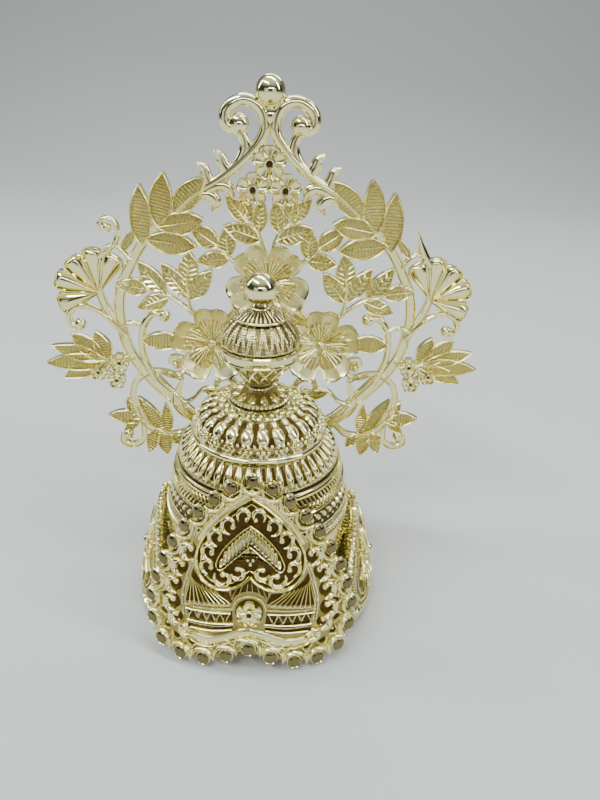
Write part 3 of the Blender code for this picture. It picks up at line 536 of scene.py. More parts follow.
def leaf(casting, base, tip, width, foot, rise, style="plain", lines=16, belly=0.42):
    """A pointed leaf: a raised edge round a sunk field in the piece's first finish, a gold with painted
    shade, with fine ridges across.

    hatched: ridges straight across. ribbed: the same on both sides of a midrib.
    veined: slanting ridges from a midrib. plain: a midrib alone."""
    base, tip = Vector(base), Vector(tip)
    along = tip - base
    side = Vector((-along.y, along.x)).normalized()
    power = math.log(0.5) / math.log(belly)

    def half_at(t):
        return max(width / 2 * math.sin(math.pi * t**power) ** 0.8, 0.05) if 0 < t < 1 else 0.05

    steps = 28
    casting.use(casting.finishes[0])
    line = [base + along * (i / steps) for i in range(steps + 1)]
    halves = [half_at(i / steps) for i in range(steps + 1)]
    shares = (-1, -0.5, 0, 0.5, 1)
    carved(casting, line, halves, lambda t, s: foot + rise * (0.12 + 0.15 * (1 - s * s)), shares)
    casting.use(BEADED)
    places = [k / 12 for k in range(13)]
    for way in (1, -1):
        edge = [base + along * t + side * way * max(half_at(t) - 0.13, 0.02) for t in places]
        ribbon(casting, edge, [0.42, 0.46, 0.42], foot, rise * 0.95, 0.5)
    if style != "hatched":
        ribbon(casting, [base, base.lerp(tip, 0.5), tip], [0.5, 0.4, 0.2], foot, rise * 0.95, 0.8)
    if style == "plain":
        return
    slant = 0.13 if style == "veined" else 0.0
    size = along.length * 0.8 / lines * 0.56
    for k in range(lines):
        t = 0.1 + 0.8 * (k + 0.5) / lines
        half = half_at(min(t + slant, 0.98)) - 0.2
        if half < 0.2:
            continue
        here = base + along * t
        if style == "hatched":
            there = base + along * (t + 0.03) + side * half
            ridge(casting, here - side * half, there, size, foot, rise * 0.8)
            continue
        for way in (1, -1):
            ridge(casting, here, base + along * (t + slant) + side * way * half, size, foot, rise * 0.75)


def spiral(centre, radius, start, sweep, shrink=0.45, steps=16):
    """A scroll's line. Angles are degrees, and it winds in to a share of its radius."""
    out = []
    for i in range(steps + 1):
        t = i / steps
        angle = math.radians(start + sweep * t)
        reach = radius * (1 + (shrink - 1) * t)
        out.append(Vector((centre[0] + reach * math.cos(angle), centre[1] + reach * math.sin(angle))))
    return out


def curl(casting, centre, ball, radius, sweep, width, foot, rise, ball_r):
    """A crescent round a centre that winds in and ends in a polished ball at a given place."""
    reach = Vector(ball) - Vector(centre)
    end = math.degrees(math.atan2(reach.y, reach.x))
    line = []
    for i in range(19):
        angle = math.radians(end - sweep * (1 - i / 18))
        out = radius + (reach.length - radius) * (i / 18) ** 2.6
        line.append(Vector((centre[0] + out * math.cos(angle), centre[1] + out * math.sin(angle))))
    ribbon(casting, line, [width * 0.4, width, width * 1.1, width, width * 0.6], foot, rise, 0.2)
    stud(casting, ball, [(ball_r, foot), *dome_profile(ball_r, foot + rise * 0.5, ball_r * 0.75, 4)], 14)


def patch(casting, outline, foot, front):
    """A small raised shape with straight edges."""
    rows = [[(p[0], p[1], foot) for p in outline], [(p[0], p[1], front) for p in outline]]
    casting.skin(rows, closed=True, ends=True)


def height_at(edge, across):
    """Where an edge, given from left to right, stands at a place across."""
    for here, there in zip(edge, edge[1:]):
        if across <= there[0]:
            break
    share = (across - here[0]) / (there[0] - here[0])
    return here[1] + (there[1] - here[1]) * share


def flipped(points, side):
    """A line of the drawing, or its mirror image for side -1."""
    return [(side * across, up) for across, up in points]


STRIP = 1.0


def flat_sheet(casting, outline, holes, foot, front):
    """A pierced flat sheet, cut into upright strips so that it can be wrapped."""
    curve = bpy.data.curves.new("sheet outline", "CURVE")
    curve.dimensions = "2D"
    curve.fill_mode = "BOTH"
    for points in [outline, *holes]:
        spline = curve.splines.new("POLY")
        spline.points.add(len(points) - 1)
        for k, p in enumerate(points):
            spline.points[k].co = (p[0], p[1], 0.0, 1.0)
        spline.use_cyclic_u = True
    curve.extrude = (front - foot) / 2
    holder = bpy.data.objects.new("sheet outline", curve)
    bpy.context.scene.collection.objects.link(holder)
    bpy.context.view_layer.update()
    flat = bpy.data.meshes.new_from_object(holder.evaluated_get(bpy.context.evaluated_depsgraph_get()))
    bpy.data.objects.remove(holder)
    shape = bmesh.new()
    shape.from_mesh(flat)
    bmesh.ops.remove_doubles(shape, verts=shape.verts, dist=0.001)
    reach = max(abs(v.co.x) for v in shape.verts)
    for k in range(-int(reach / STRIP), int(reach / STRIP) + 1):
        everything = [*shape.verts, *shape.edges, *shape.faces]
        cut_at = ((k + 0.03) * STRIP, 0, 0)
        bmesh.ops.bisect_plane(shape, geom=everything, plane_co=cut_at, plane_no=(1, 0, 0))
    shape.verts.index_update()
    middle = (front + foot) / 2
    points = [(v.co.x, v.co.y, v.co.z + middle) for v in shape.verts]
    casting.add(points, [tuple(v.index for v in face.verts) for face in shape.faces])
    shape.free()
    bpy.data.meshes.remove(flat)
    bpy.data.curves.remove(curve)


# ---------------------------------------------------------------- wrapping


def on_plate(bend, turn):
    """Curves a flat drawing, leans it back and turns it about the crown's axis."""

    def place(point):
        across, up, depth = point
        height = PLATE_Z + up * math.cos(LEAN) + depth * math.sin(LEAN)
        out = PLATE_FOOT - up * math.sin(LEAN) + depth * math.cos(LEAN)
        angle = across / bend
        x = (bend + out - PLATE_FOOT) * math.sin(angle)
        y = -(PLATE_FOOT - bend) - (bend + out - PLATE_FOOT) * math.cos(angle)
        return x * math.cos(turn) - y * math.sin(turn), x * math.sin(turn) + y * math.cos(turn), height

    return place


def on_halo(point):
    """From the halo's drawing, with up as the height above the crown's foot, to its turned plane."""
    across, up, depth = point
    x = across * math.cos(HALO_TURN) + depth * math.sin(HALO_TURN)
    y = across * math.sin(HALO_TURN) - depth * math.cos(HALO_TURN)
    return x, y + HALO_Y + HALO_SHEET, up


def on_tier(profile, round_at):
    """Wraps a drawing round a tier. profile(up) gives (radius, height); across is measured at round_at."""

    def place(point):
        across, up, depth = point
        radius, height = profile(up)
        near_radius, near_height = profile(up + 0.02)
        slope = Vector((near_height - height, -(near_radius - radius))).normalized()
        out, rise = radius + depth * slope.x, height + depth * slope.y
        angle = across / round_at
        return out * math.sin(angle), -out * math.cos(angle), rise

    return place


def around(round_at, up=0.0, steps=96):
    """The flat line that becomes one whole ring."""
    whole = 2 * math.pi * round_at
    return [Vector((whole * k / steps, up)) for k in range(steps + 1)]


def lathe(casting, outline, steps=96):
    """Turns (radius, height) points about the axis. A shell's outline closes on itself."""
    count = len(outline)
    rows = []
    for k in range(steps):
        angle = 2 * math.pi * k / steps
        rows.append([(r * math.sin(angle), -r * math.cos(angle), z) for r, z in outline])
    faces = []
    for i in range(steps):
        here, there = i * count, (i + 1) % steps * count
        for k in range(count):
            j = (k + 1) % count
            if outline[k][0] < 1e-6 and outline[j][0] < 1e-6:
                continue
            faces.append((here + k, here + j, there + j, there + k))
    casting.add([point for row in rows for point in row], faces)


def rounded(points, per_span=5):
    return [tuple(p) for p in smooth_line(points, per_span)]


# ---------------------------------------------------------------- tiers


def skirt():
    """The plain flared wall behind the plates, with a rope at its foot and beads under the collar."""
    work = Casting("crown_skirt", [CARVED, BEADED])
    foot_r, top_r = SKIRT_FOOT_R, COLLAR_FOOT_R
    outside = [(top_r, SKIRT_H), (foot_r - 0.1, ROPE_H), (foot_r, 0.0)]
    lathe(work, [*outside, (foot_r - WALL, 0.0), (top_r - WALL, SKIRT_H)], 128)
    drawn = len(work.points)
    work.use(BEADED)
    slope = (foot_r - top_r) / SKIRT_H
    twist(work, around(foot_r, 0.5), 0.4, 1.6, looped=True)
    bead_row(work, around(foot_r, 1.35), 0.26, 0.0, looped=True)
    bead_row(work, around(foot_r, SKIRT_H - 0.4), 0.28, 0.0, gap=1.15, looped=True)
    for up in (4.0, 12.0, 20.0):
        wire(work, around(foot_r, up, 120), [0.16, 0.16], sides=6)
    work.wrapped(on_tier(lambda up: (foot_r - slope * up, up), foot_r), drawn)
    work.piece("skirt", slot="stamped_gold")


def collar():
    """Rows of braid and beads between two ropes."""
    work = Casting("crown_collar", [PAINTED_SHADOW, BEADED, POLISHED])

    def wall(up):
        return COLLAR_FOOT_R + (COLLAR_TOP_R - COLLAR_FOOT_R) * up / COLLAR_H, COLLAR_Z + up

    inside = [(COLLAR_FOOT_R - WALL, COLLAR_Z), (COLLAR_TOP_R - WALL, COLLAR_Z + COLLAR_H)]
    # The wall behind the braid and beads is painted shadow.
    lathe(work, [wall(COLLAR_H), wall(0.0), *inside], 128)
    drawn = len(work.points)
    at = COLLAR_FOOT_R
    work.use(POLISHED)
    for up, thick, sides in ((10.8, 0.3, 10), (9.9, 0.2, 6), (6.3, 0.26, 8), (2.55, 0.2, 6)):
        wire(work, around(at, up, 128)[:-1], [thick, thick], 0.1, sides, looped=True)
    work.use(BEADED)
    pitch = 2 * math.pi * at / BRAIDS
    for row, height in enumerate((9.1, 7.6)):
        for k in range(BRAIDS):
            here = pitch * (k + 0.5 * row)
            lean = 0.36 if row else -0.36
            line = [Vector((here + lean * s, height + 0.62 * s)) for s in (-1, 0, 1)]
            carved(work, line, [0.12, 0.34, 0.12], half_round(0.0, 0.55), COARSE)
    for height in (8.35, 6.85):
        bead_row(work, around(at, height), 0.19, 0.2, gap=1.5, looped=True)
    pitch = 2 * math.pi * at / COLLAR_BEADS
    for k in range(COLLAR_BEADS):
        bead(work, (pitch * k, 4.7), 0.62, 0.05, 8, 0.8)
        bead(work, (pitch * (k + 0.5), 5.5), 0.3, 0.1, 6)
        bead(work, (pitch * (k + 0.5), 3.6), 0.34, 0.1, 6)
    bead_row(work, around(at, 2.0), 0.27, 0.12, looped=True)
    bead_row(work, around(at, 1.42), 0.27, 0.16, looped=True)
    twist(work, around(at, 0.6), 0.42, 1.5, 0.08, looped=True)
    work.wrapped(on_tier(wall, at), drawn)
    work.piece("collar", slot="stamped_gold")


def petal_band():
    """Forty-eight long pointed petals over small scallops, with painted shadow in the gaps between them and
    painted shade on the shell.
    """
    work = Casting("crown_petal_band", [GROUND_FILM_AND_SHADE, BEADED, POLISHED, PAINTED_SHADOW])
    swell = COLLAR_TOP_R - (COLLAR_TOP_R - DOME_R) * 0.4

    def curve(up):
        t = min(max(up / PETAL_H, -0.05), 1.05)
        radius = between([COLLAR_TOP_R, swell, DOME_R], t) + 0.25 * math.sin(math.pi * t)
        return radius - 0.35, PETAL_Z + up

    outer = [curve(PETAL_H * k / 6) for k in range(6, -1, -1)]
    inner = [(r - 0.45, z) for r, z in reversed(outer)]
    # The shell under the petals is the ground gold, filmed and with painted shade.
    lathe(work, [*outer, *inner], 144)
    drawn = len(work.points)
    at = COLLAR_TOP_R
    pitch = math.pi * at / FLUTES

    def petal(t, s):
        return 0.1 + 0.75 * math.sqrt(1 - s * s) * (0.5 + 0.5 * math.sin(3 * t))

    for k in range(2 * FLUTES):
        here = pitch * (k + 0.5)
        work.use(POLISHED)
        line = [Vector((here, PETAL_H * t)) for t in (0.1, 0.18, 0.28, 0.4, 0.52, 0.66, 0.8, 0.9, 0.98)]
        halves = [0.08, 0.42, 0.68, 0.82, 0.84, 0.76, 0.66, 0.55, 0.3]
        carved(work, line, halves, petal, ROUND)
        here += pitch / 2
        # Painted shadow in the gap between two petals.
        work.use(PAINTED_SHADOW)
        line = [Vector((here, PETAL_H * t)) for t in (0.26, 0.4, 0.6, 0.8, 0.92)]
        carved(work, line, [0.5, 0.36, 0.3, 0.34, 0.36], lambda t, s: 0.06, FLAT)
        work.use(BEADED)
        wire(work, spiral((here, 0.2), 0.62, 180, -180, 1.0, 8), [0.15, 0.15], 0.3, 6)
        bead(work, (here, 0.42), 0.3, 0.2, 6)
    bead_row(work, around(at, 0.15), 0.2, 0.3, gap=1.1, looped=True)
    work.wrapped(on_tier(curve, at), drawn)
    work.piece("petal_band", slot="stamped_gold")


def dome():
    """A polished rim, rosettes, long petals with a mirror at each foot, and small scales at the top."""
    work = Casting("crown_dome", [PAINTED_SHADE_GOLD, BEADED, POLISHED, PAINTED_SHADOW])
    rim_z = DOME_Z + DOME_RIM_H
    rise = DOME_H - DOME_RIM_H
    end = math.acos(DOME_TOP_R / DOME_R)
    arc = []
    for k in range(81):
        angle = end * k / 80
        height = rim_z + (rise - 0.2) * math.sin(angle) / math.sin(end)
        arc.append(Vector(((DOME_R - 0.4) * math.cos(angle), height)))
    whole = length_of(arc)
    arc = spaced(arc, 60)

    def curve(up):
        return tuple(between(arc, up / whole))

    outer = [curve(whole * k / 9) for k in range(9, -1, -1)]
    inner = [(r - 0.8, z - 0.35 * k / 9) for k, (r, z) in enumerate(reversed(outer))]
    # The shell is gold with painted shade, dark between the rosettes and petals.
    lathe(work, [*outer, (DOME_R - 0.4, DOME_Z), (DOME_R - WALL - 0.3, DOME_Z), *inner], 144)
    work.use(POLISHED)
    lathe(work, hoop(DOME_R - 0.1, DOME_Z + 0.7, 0.7, 16), 144)
    drawn = len(work.points)
    at = DOME_R
    pitch = 2 * math.pi * at / FLUTES
    for k in range(FLUTES):
        # rosette
        here = pitch * (k + 0.5)
        work.use(BEADED)
        for j in range(6):
            angle = 2 * math.pi * j / 6
            bead(work, (here + 1.02 * math.cos(angle), 1.4 + 0.92 * math.sin(angle)), 0.5, 0.3, 9)
        bead(work, (here, 1.4), 0.55, 0.55, 9)
        # petal, pinched over its mirror
        work.use(POLISHED)
        line = [Vector((here, up)) for up in (5.6, 5.8, 6.1, 6.5, 7.0, 7.3)]
        carved(work, line, [0.3, 0.8, 1.0, 1.05, 0.95, 0.5], half_round(0.05, 0.55), ROUND)
        mirror = [(1.3, 0.0), (1.34, 0.6), (1.2, 0.74), *dome_profile(1.12, 0.62, 0.35)]
        stud(work, (here, 4.1), mirror, 24, 1.3)
        # slot of painted shadow, and a pearl at its foot
        here += pitch / 2
        work.use(PAINTED_SHADOW)
        line = [Vector((here, up)) for up in (0.6, 2.4, 3.2, 4.2, 5.2, 6.2, 7.1)]
        carved(work, line, [0.3, 0.75, 0.75, 0.75, 0.8, 0.75, 0.4], lambda t, s: 0.04, FLAT)
        work.use(BEADED)
        bead(work, (here, 2.3), 0.34, 0.2, 7)
    bead_row(work, around(at, 0.2), 0.2, 0.25, gap=1.2, looped=True)
    work.use(POLISHED)
    wire(work, around(at, 7.45, 96)[:-1], [0.18, 0.18], 0.25, 7, looped=True)
    for row, low in enumerate((7.5, 8.2)):
        for k in range(DOME_SCALES):
            here = 2 * math.pi * at * (k + 0.5 * row) / DOME_SCALES
            line = [Vector((here, low + step)) for step in (0.0, 0.2, 0.45, 0.7, 0.95, 1.15)]
            carved(work, line, [0.9, 1.6, 1.8, 1.6, 1.0, 0.3], half_round(0.1, 0.5), ROUND)
    work.use(BEADED)
    bead_row(work, around(at, whole - 0.15), 0.4, 0.15, gap=1.05, looped=True)
    work.wrapped(on_tier(curve, at), drawn)
    work.piece("dome", slot="stamped_gold")


# ---------------------------------------------------------------- spire


def neck():
    """The stem, with a ring of beads at its foot and petals that open to the basket."""
    work = Casting("spire_neck", [POLISHED, BEADED, PAINTED_SHADE_GOLD])
    foot = DOME_TOP_R - WALL / 4
    stem = [(BASKET_FOOT_R, 1.0), (BASKET_FOOT_R - 0.1, 0.93), (NECK_R, 0.74), (NECK_R, 0.55)]
    stem += [(foot * 0.7, 0.32), (foot * 0.94, 0.2), (foot * 0.95, 0.0)]
    profile = rounded([(radius, NECK_Z + NECK_H * up) for radius, up in stem], 4)
    # The stem and its foot are gold with painted shade; the petals and beads over it stay bright.
    work.use(PAINTED_SHADE_GOLD)
    lathe(work, [(0.0, NECK_Z + NECK_H), *profile, (0.0, NECK_Z)], 64)
    drawn = len(work.points)
    work.use(BEADED)
    bead_row(work, around(foot, 0.5), 0.42, 0.0, sides=8, looped=True)
    work.wrapped(on_tier(lambda up: (foot - 0.35, NECK_Z + up), foot), drawn)
    drawn = len(work.points)
    work.use(POLISHED)
    for k in range(NECK_PETALS):
        here = 2 * math.pi * foot * (k + 0.5) / NECK_PETALS
        line = [Vector((here, up)) for up in (0.0, 0.4, 0.9, 1.4, 1.7)]
        carved(work, line, [0.4, 1.0, 1.05, 0.9, 0.5], half_round(0.0, 0.6), ROUND)
    work.wrapped(on_tier(lambda up: (foot * 0.9 - up * 1.25, NECK_Z + 0.75 + up * 0.45), foot), drawn)
    drawn = len(work.points)
    work.use(BEADED)
    bead_row(work, around(NECK_R, 0.0), 0.3, 0.1, looped=True)
    work.wrapped(on_tier(lambda up: (NECK_R, NECK_Z + NECK_H * 0.64 + up), NECK_R), drawn)
    work.piece("neck", slot="polished_gold")


def basket_work(work, at):
    """Crossing smooth wires between two rows of beads."""
    work.use(POLISHED)
    pitch = 2 * math.pi * at / BASKET_WIRES
    for k in range(BASKET_WIRES):
        for lean in (1.0, -1.0):
            line = [Vector((pitch * k, 0.25)), Vector((pitch * (k + lean), BASKET_H - 0.25))]
            wire(work, spaced(line, 8), [0.26, 0.26], 0.1, 7)
    work.use(BEADED)
    for up in (0.15, BASKET_H - 0.2):
        bead_row(work, around(at, up), 0.22, 0.12, gap=1.05, looped=True)


def lantern_work(work, at):
    """Tall narrow loops, each of two rows of small beads side by side."""
    work.use(BEADED)
    low, high = 0.35, LANTERN_H - 0.15
    pitch = 2 * math.pi * at / LANTERN_LOOPS
    for k in range(LANTERN_LOOPS):
        here = pitch * k
        for lean in (0.5, -0.5):
            bend = (here + lean * pitch * 0.28, low + 0.4, 0)
            line = smooth_line([(here, low, 0), bend, (here + lean * pitch, high, 0)], 6)
            for side in (0.16, -0.16):
                bead_row(work, [Vector((p[0] + side, p[1])) for p in line], 0.18, 0.3, gap=1.0)
    bead_row(work, around(at, 0.2), 0.24, 0.15, gap=1.05, looped=True)


def spire_half(name, node, foot_r, top_r, z, height, bulge, drawing):
    """A thin shell of gold with painted shade under open work, which drawing(work, at) puts on it."""
    work = Casting(name, [PAINTED_SHADE_GOLD, BEADED, POLISHED])
    middle = (foot_r + top_r) / 2 + bulge

    def wall(up):
        t = up / height
        radius = foot_r * (1 - t) * (1 - 2 * t) + middle * 4 * t * (1 - t) + top_r * t * (2 * t - 1)
        return radius - 0.2, z + up

    outer = [wall(height * k / 6) for k in range(6, -1, -1)]
    inner = [(r - 0.5, h) for r, h in reversed(outer)]
    lathe(work, [*outer, *inner], 96)
    drawn = len(work.points)
    at = max(foot_r, top_r)
    drawing(work, at)
    work.wrapped(on_tier(wall, at), drawn)
    work.piece(node, slot="stamped_gold")


def spire_band():
    """A polished swelling with a fine hoop at each edge."""
    work = Casting("spire_band_ring", [POLISHED])
    outer = [(LANTERN_FOOT_R + 0.05, 1.0), (BAND_R - 0.2, 0.94), (BAND_R, 0.8), (BAND_R - 0.1, 0.6)]
    outer += [(BAND_R - 0.45, 0.25), (BAND_R - WALL, 0.0)]
    outer = rounded([(radius, BAND_Z + BAND_H * up) for radius, up in outer], 4)
    lathe(work, [*outer, (BASKET_TOP_R - WALL, BAND_Z), (LANTERN_FOOT_R - WALL, BAND_Z + BAND_H)], 96)
    for up, out in ((0.14, -0.42), (0.94, 0.05)):
        lathe(work, hoop(BAND_R - 0.15 + out, BAND_Z + BAND_H * up, 0.2, 8), 96)
    work.piece("spire_band", slot="polished_gold")


def spire_cap():
    """Wedges of beads in double rows between a smooth ring at the foot and a small one at the top."""
    work = Casting("spire_cap_piece", [PAINTED_SHADOW, BEADED, POLISHED])
    top = CAP_Z + CAP_H
    foot_r = LANTERN_TOP_R + ROPE - 0.25
    profile = [(foot_r, 0.0), (foot_r, 0.45), (4.2, 0.92), (3.1, 1.36), (2.2, 1.7), (1.6, 1.93)]
    # The cone under the wedges of beads is painted shadow.
    lathe(work, [(0.0, top), (1.3, top), *[(r, CAP_Z + h) for r, h in reversed(profile)], (0.0, CAP_Z)], 72)
    work.use(POLISHED)
    for at, up, thick in ((1.5, CAP_H - 0.36, 0.35), (foot_r, 0.24, 0.26)):
        lathe(work, hoop(at, CAP_Z + up, thick, 10), 72)
    drawn = len(work.points)
    work.use(BEADED)

    def slope(up):
        t = min(max(up / 4.0, 0.0), 1.0)
        return between([foot_r, 4.2, 3.2, 2.3, 1.7], t), CAP_Z + between([0.4, 0.86, 1.3, 1.66, 1.88], t)

    for k in range(CAP_WEDGES):
        here = 2 * math.pi * foot_r * k / CAP_WEDGES
        for step in range(9):
            for side in (0.4, -0.4):
                bead(work, (here + side, 0.35 + 0.41 * step), 0.26 - 0.014 * step, 0.08, 6)
    work.wrapped(on_tier(slope, foot_r), drawn)
    work.piece("spire_cap", slot="stamped_gold")


def turned_ball(name, node, centre, radius, foot=None):
    """A polished ball, with a short shank where it has one."""
    work = Casting(name, [POLISHED])
    low = -math.pi / 2 if foot is None else -math.acos(SHANK_R / radius)
    tilts = [math.pi / 2 + (low - math.pi / 2) * k / 32 for k in range(33)]
    outline = [(max(radius * math.cos(t), 0.0), centre[2] + radius * math.sin(t)) for t in tilts]
    outline[0] = (0.0, outline[0][1])
    if foot is None:
        outline[-1] = (0.0, outline[-1][1])
    else:
        outline += [(SHANK_R, foot + 0.3), (SHANK_R + 0.15, foot), (0.0, foot)]
    lathe(work, outline, 56)
    work.points = [(x + centre[0], y + centre[1], z) for x, y, z in work.points]
    work.piece(node, slot="polished_gold", sharp=50)


# ---------------------------------------------------------------- plates


def heart_half(height, half_width):
    """Right half of an upturned heart from its apex to the notch at its foot."""
    shares = [(0.0, 1.0), (0.2, 0.965), (0.38, 0.9), (0.54, 0.82), (0.69, 0.725), (0.81, 0.62), (0.91, 0.5)]
    shares += [(0.98, 0.37), (1.0, 0.24), (0.88, 0.085), (0.62, 0.03), (0.36, 0.04), (0.12, 0.09)]
    shares.append((0.0, 0.12))
    return [(across * half_width, up * height) for across, up in shares]


def mirrored(line):
    """A closed outline from its right half, given from the top down."""
    left = [(-p[0], p[1]) for p in line if p[0] > 1e-6]
    return [tuple(p) for p in reversed([*[(p[0], p[1]) for p in line], *reversed(left)])]


def inward(line, i, middle):
    """The direction from a heart's edge towards its inside."""
    along = line[min(i + 1, len(line) - 1)] - line[max(i - 1, 0)]
    side = Vector((-along.y, along.x)).normalized()
    return side if side.dot(Vector(middle) - line[i]) > 0 else -side


def hooded_stud(work, seat, within, radius, foot):
    """A flat mirror with a painted dark reflection in a thin rim, under a beaded arch on its inner side, with
    painted shadow between.
    """
    work.use(POLISHED)
    rim = [(radius + 0.22, foot - 0.3), (radius + 0.22, foot + 0.3), (radius + 0.1, foot + 0.42)]
    stud(work, seat, [*rim, (radius, foot + 0.3)], 24)
    # The mirror's face: its dark reflection is painted into the colour.
    work.use(MIRROR_PAINTED_DARK_REFLECTION)
    face = dome_profile(radius - 0.02, foot + 0.3, radius * 0.3, 5)
    stud(work, seat, [(radius + 0.02, foot + 0.2), *face], 24)
    facing = math.degrees(math.atan2(within.y, within.x))
    # Painted shadow between the rim and the arch.
    work.use(PAINTED_SHADOW)
    ribbon(work, spiral(seat, radius + 0.34, facing - 80, 160, 1.0, 12), [0.2, 0.8, 0.2], foot, 0.1, 0.3)
    work.use(BEADED)
    arch = spiral(seat, radius + 1.0, facing - 90, 180, 1.0, 18)
    ribbon(work, arch, [0.3, 0.85, 1.0, 0.85, 0.3], foot, 1.05, 0.3)
    bead_row(work, spiral(seat, radius + 0.95, facing - 68, 136, 1.0, 14), 0.23, foot + 1.0)


# the front plate's drawing, right half: the medallion's band, the line inside it and the chevron leaf
MEDALLION = [(0, 37.0), (3.1, 35.2), (6.1, 32.9), (8.9, 29.9), (10.8, 26.9), (11.6, 24.0), (11.3, 21.6)]
MEDALLION += [(10.4, 19.8), (8.9, 18.5), (7.0, 17.9), (4.8, 17.9), (3.0, 18.5), (1.3, 19.6), (0, 20.9)]
INNER_LINE = [(0, 35.7), (2.8, 34.0), (5.6, 31.8), (8.1, 29.2), (9.9, 26.5), (10.6, 23.9), (10.3, 21.9)]
INNER_LINE += [(9.6, 20.5), (8.4, 19.4), (6.9, 18.9), (5.0, 18.9), (3.4, 19.5), (1.8, 20.7), (0, 22.2)]
OUTER_BAND = [(0, 37.7), (3.35, 35.75), (6.6, 33.25), (9.55, 30.15), (11.5, 27.0)]
OUTER_LINE = [(0, 38.4), (3.6, 36.3), (7.1, 33.6), (10.2, 30.4), (12.3, 27.2)]
RIB_TOPS = [(0, 30.8), (2.0, 29.3), (4.0, 27.4), (5.6, 25.3), (6.5, 22.9)]
RIB_FEET = [(0, 28.1), (1.6, 26.8), (3.3, 25.3), (4.9, 23.7), (6.5, 22.5)]
LEAF_TOP = [(0, 31.6), (2.1, 30.1), (4.3, 28.0), (6.1, 25.7), (7.1, 23.2), (6.7, 22.0)]
LEAF_FOOT = [(0, 27.3), (1.6, 26.0), (3.3, 24.5), (4.9, 22.9), (6.0, 22.0), (6.7, 22.0)]
OPENING = [(0.0, 26.9), (-4.3, 23.2), (-2.2, 23.5), (0.0, 24.2), (2.2, 23.5), (4.3, 23.2)]
FOOT_BAND = [(0, 8.6), (2.6, 7.8), (5.4, 6.4), (8.3, 5.6), (11.0, 5.9), (13.2, 7.0), (14.9, 8.4)]
# scrolls inside the medallion: centre, ball, radius, sweep in degrees, and the ball's radius
SCROLLS = [
    ((1.6, 33.3), (1.0, 32.6), 1.35, 240, 0.55),
    ((4.7, 31.2), (3.9, 31.0), 1.65, 265, 0.68),
    ((7.4, 28.5), (6.6, 28.3), 1.65, 265, 0.7),
    ((8.8, 25.3), (8.2, 25.1), 1.55, 265, 0.7),
    ((8.9, 22.2), (8.2, 22.1), 1.5, 250, 0.66),
    ((5.6, 20.4), (5.6, 21.0), 1.8, -270, 0.75),
    ((2.5, 21.7), (2.7, 22.4), 1.35, -250, 0.6),
]
# crescents down the flank: centre and where they start, in degrees
CRESCENTS = [((13.5, 24.3), -100), ((15.2, 20.5), -105), ((16.3, 16.3), -110)]
CRESCENTS += [((16.4, 12.2), -125), ((15.2, 9.2), -140), ((12.7, 7.2), -155)]


def painted_shadow_field(work, outline, holes=()):
    """A shallow ground let into the front plate's face, painted as shadow."""
    flat_sheet(work, outline, holes, WALL - 0.2, WALL + 0.04)


def plate_sheet(work, shape):
    """The front plate's pierced sheet in ground gold with painted shade, with painted shadow on the grounds
    of the medallion, the fans and the truss.
    """
    slots = []
    for side in (1, -1):
        for k, across in enumerate((4.9, 6.8, 8.7, 10.6)):
            up = 11.9 - 0.12 * k
            slot = [(across, up), (across - 0.75, up - 1.6), (across + 0.75, up - 1.6)]
            slots.append(flipped(slot, side))
    # The sheet is the ground gold, filmed and with painted shade.
    work.use(GROUND_FILM_AND_SHADE)
    flat_sheet(work, mirrored(spaced(shape, 70)), [OPENING, *slots], 0.0, WALL)
    work.use(PAINTED_SHADOW)
    painted_shadow_field(work, mirrored([Vector(p) for p in MEDALLION]), [OPENING])
    fan = [(12.4, 20.6), (13.9, 13.2), (3.4, 14.8), (4.4, 16.9), (7.2, 16.9), (9.6, 17.8), (11.2, 19.0)]
    for side in (1, -1):
        painted_shadow_field(work, flipped(fan, side))
    for side in (1, -1):
        truss = flipped([(13.2, 12.1), (3.5, 12.9), (3.2, 9.0), (7.2, 8.2), (11.8, 7.9)], side)
        painted_shadow_field(work, truss, [slot for slot in slots if slot[0][0] * side > 0])
    apron = [(0, 20.4), (2.2, 19.0), (3.9, 17.5), (3.7, 15.0), (2.9, 16.4), (1.5, 17.2), (0, 17.5)]
    painted_shadow_field(work, mirrored([Vector(p) for p in apron]))


def plate_edge(work, line, middle):
    """Studs, and between them a stalk that forks round a triangle of painted shadow."""
    ways = [inward(line, i, middle) for i in range(len(line))]
    for i, seat in enumerate(line):
        for side in (1, -1):
            if side > 0 or i not in (0, FRONT_STUDS):
                flip = Vector((side, 1.0))
                hooded_stud(work, seat * flip, ways[i] * flip, MIRROR_R, WALL)
    for i in range(FRONT_STUDS):
        spot = (line[i] + line[i + 1]) / 2
        way = (ways[i] + ways[i + 1]).normalized()
        across = Vector((-way.y, way.x))
        reach = min(1.0, 0.45 + 0.08 * i) if i < 9 else 0.8
        for side in (1, -1):
            flip = Vector((side, 1.0))
            fork = (spot + way * 1.7) * flip
            work.use(BEADED)
            ribbon(work, [spot * flip, fork], [0.35, 0.5], WALL, 0.75, 0.4)
            tips = [(spot + way * (1.7 + 2.2 * reach) + across * lean * reach) * flip for lean in (1.3, -1.3)]
            for tip in tips:
                ribbon(work, [fork, tip], [0.4, 0.4], WALL, 0.5, 0.4)
                bead_row(work, [fork, tip], 0.19, WALL + 0.5)
            # Painted shadow in the fork.
            work.use(PAINTED_SHADOW)
            patch(work, [fork.lerp(tips[0], 0.45), *tips, fork.lerp(tips[1], 0.45)], WALL - 0.2, WALL + 0.06)


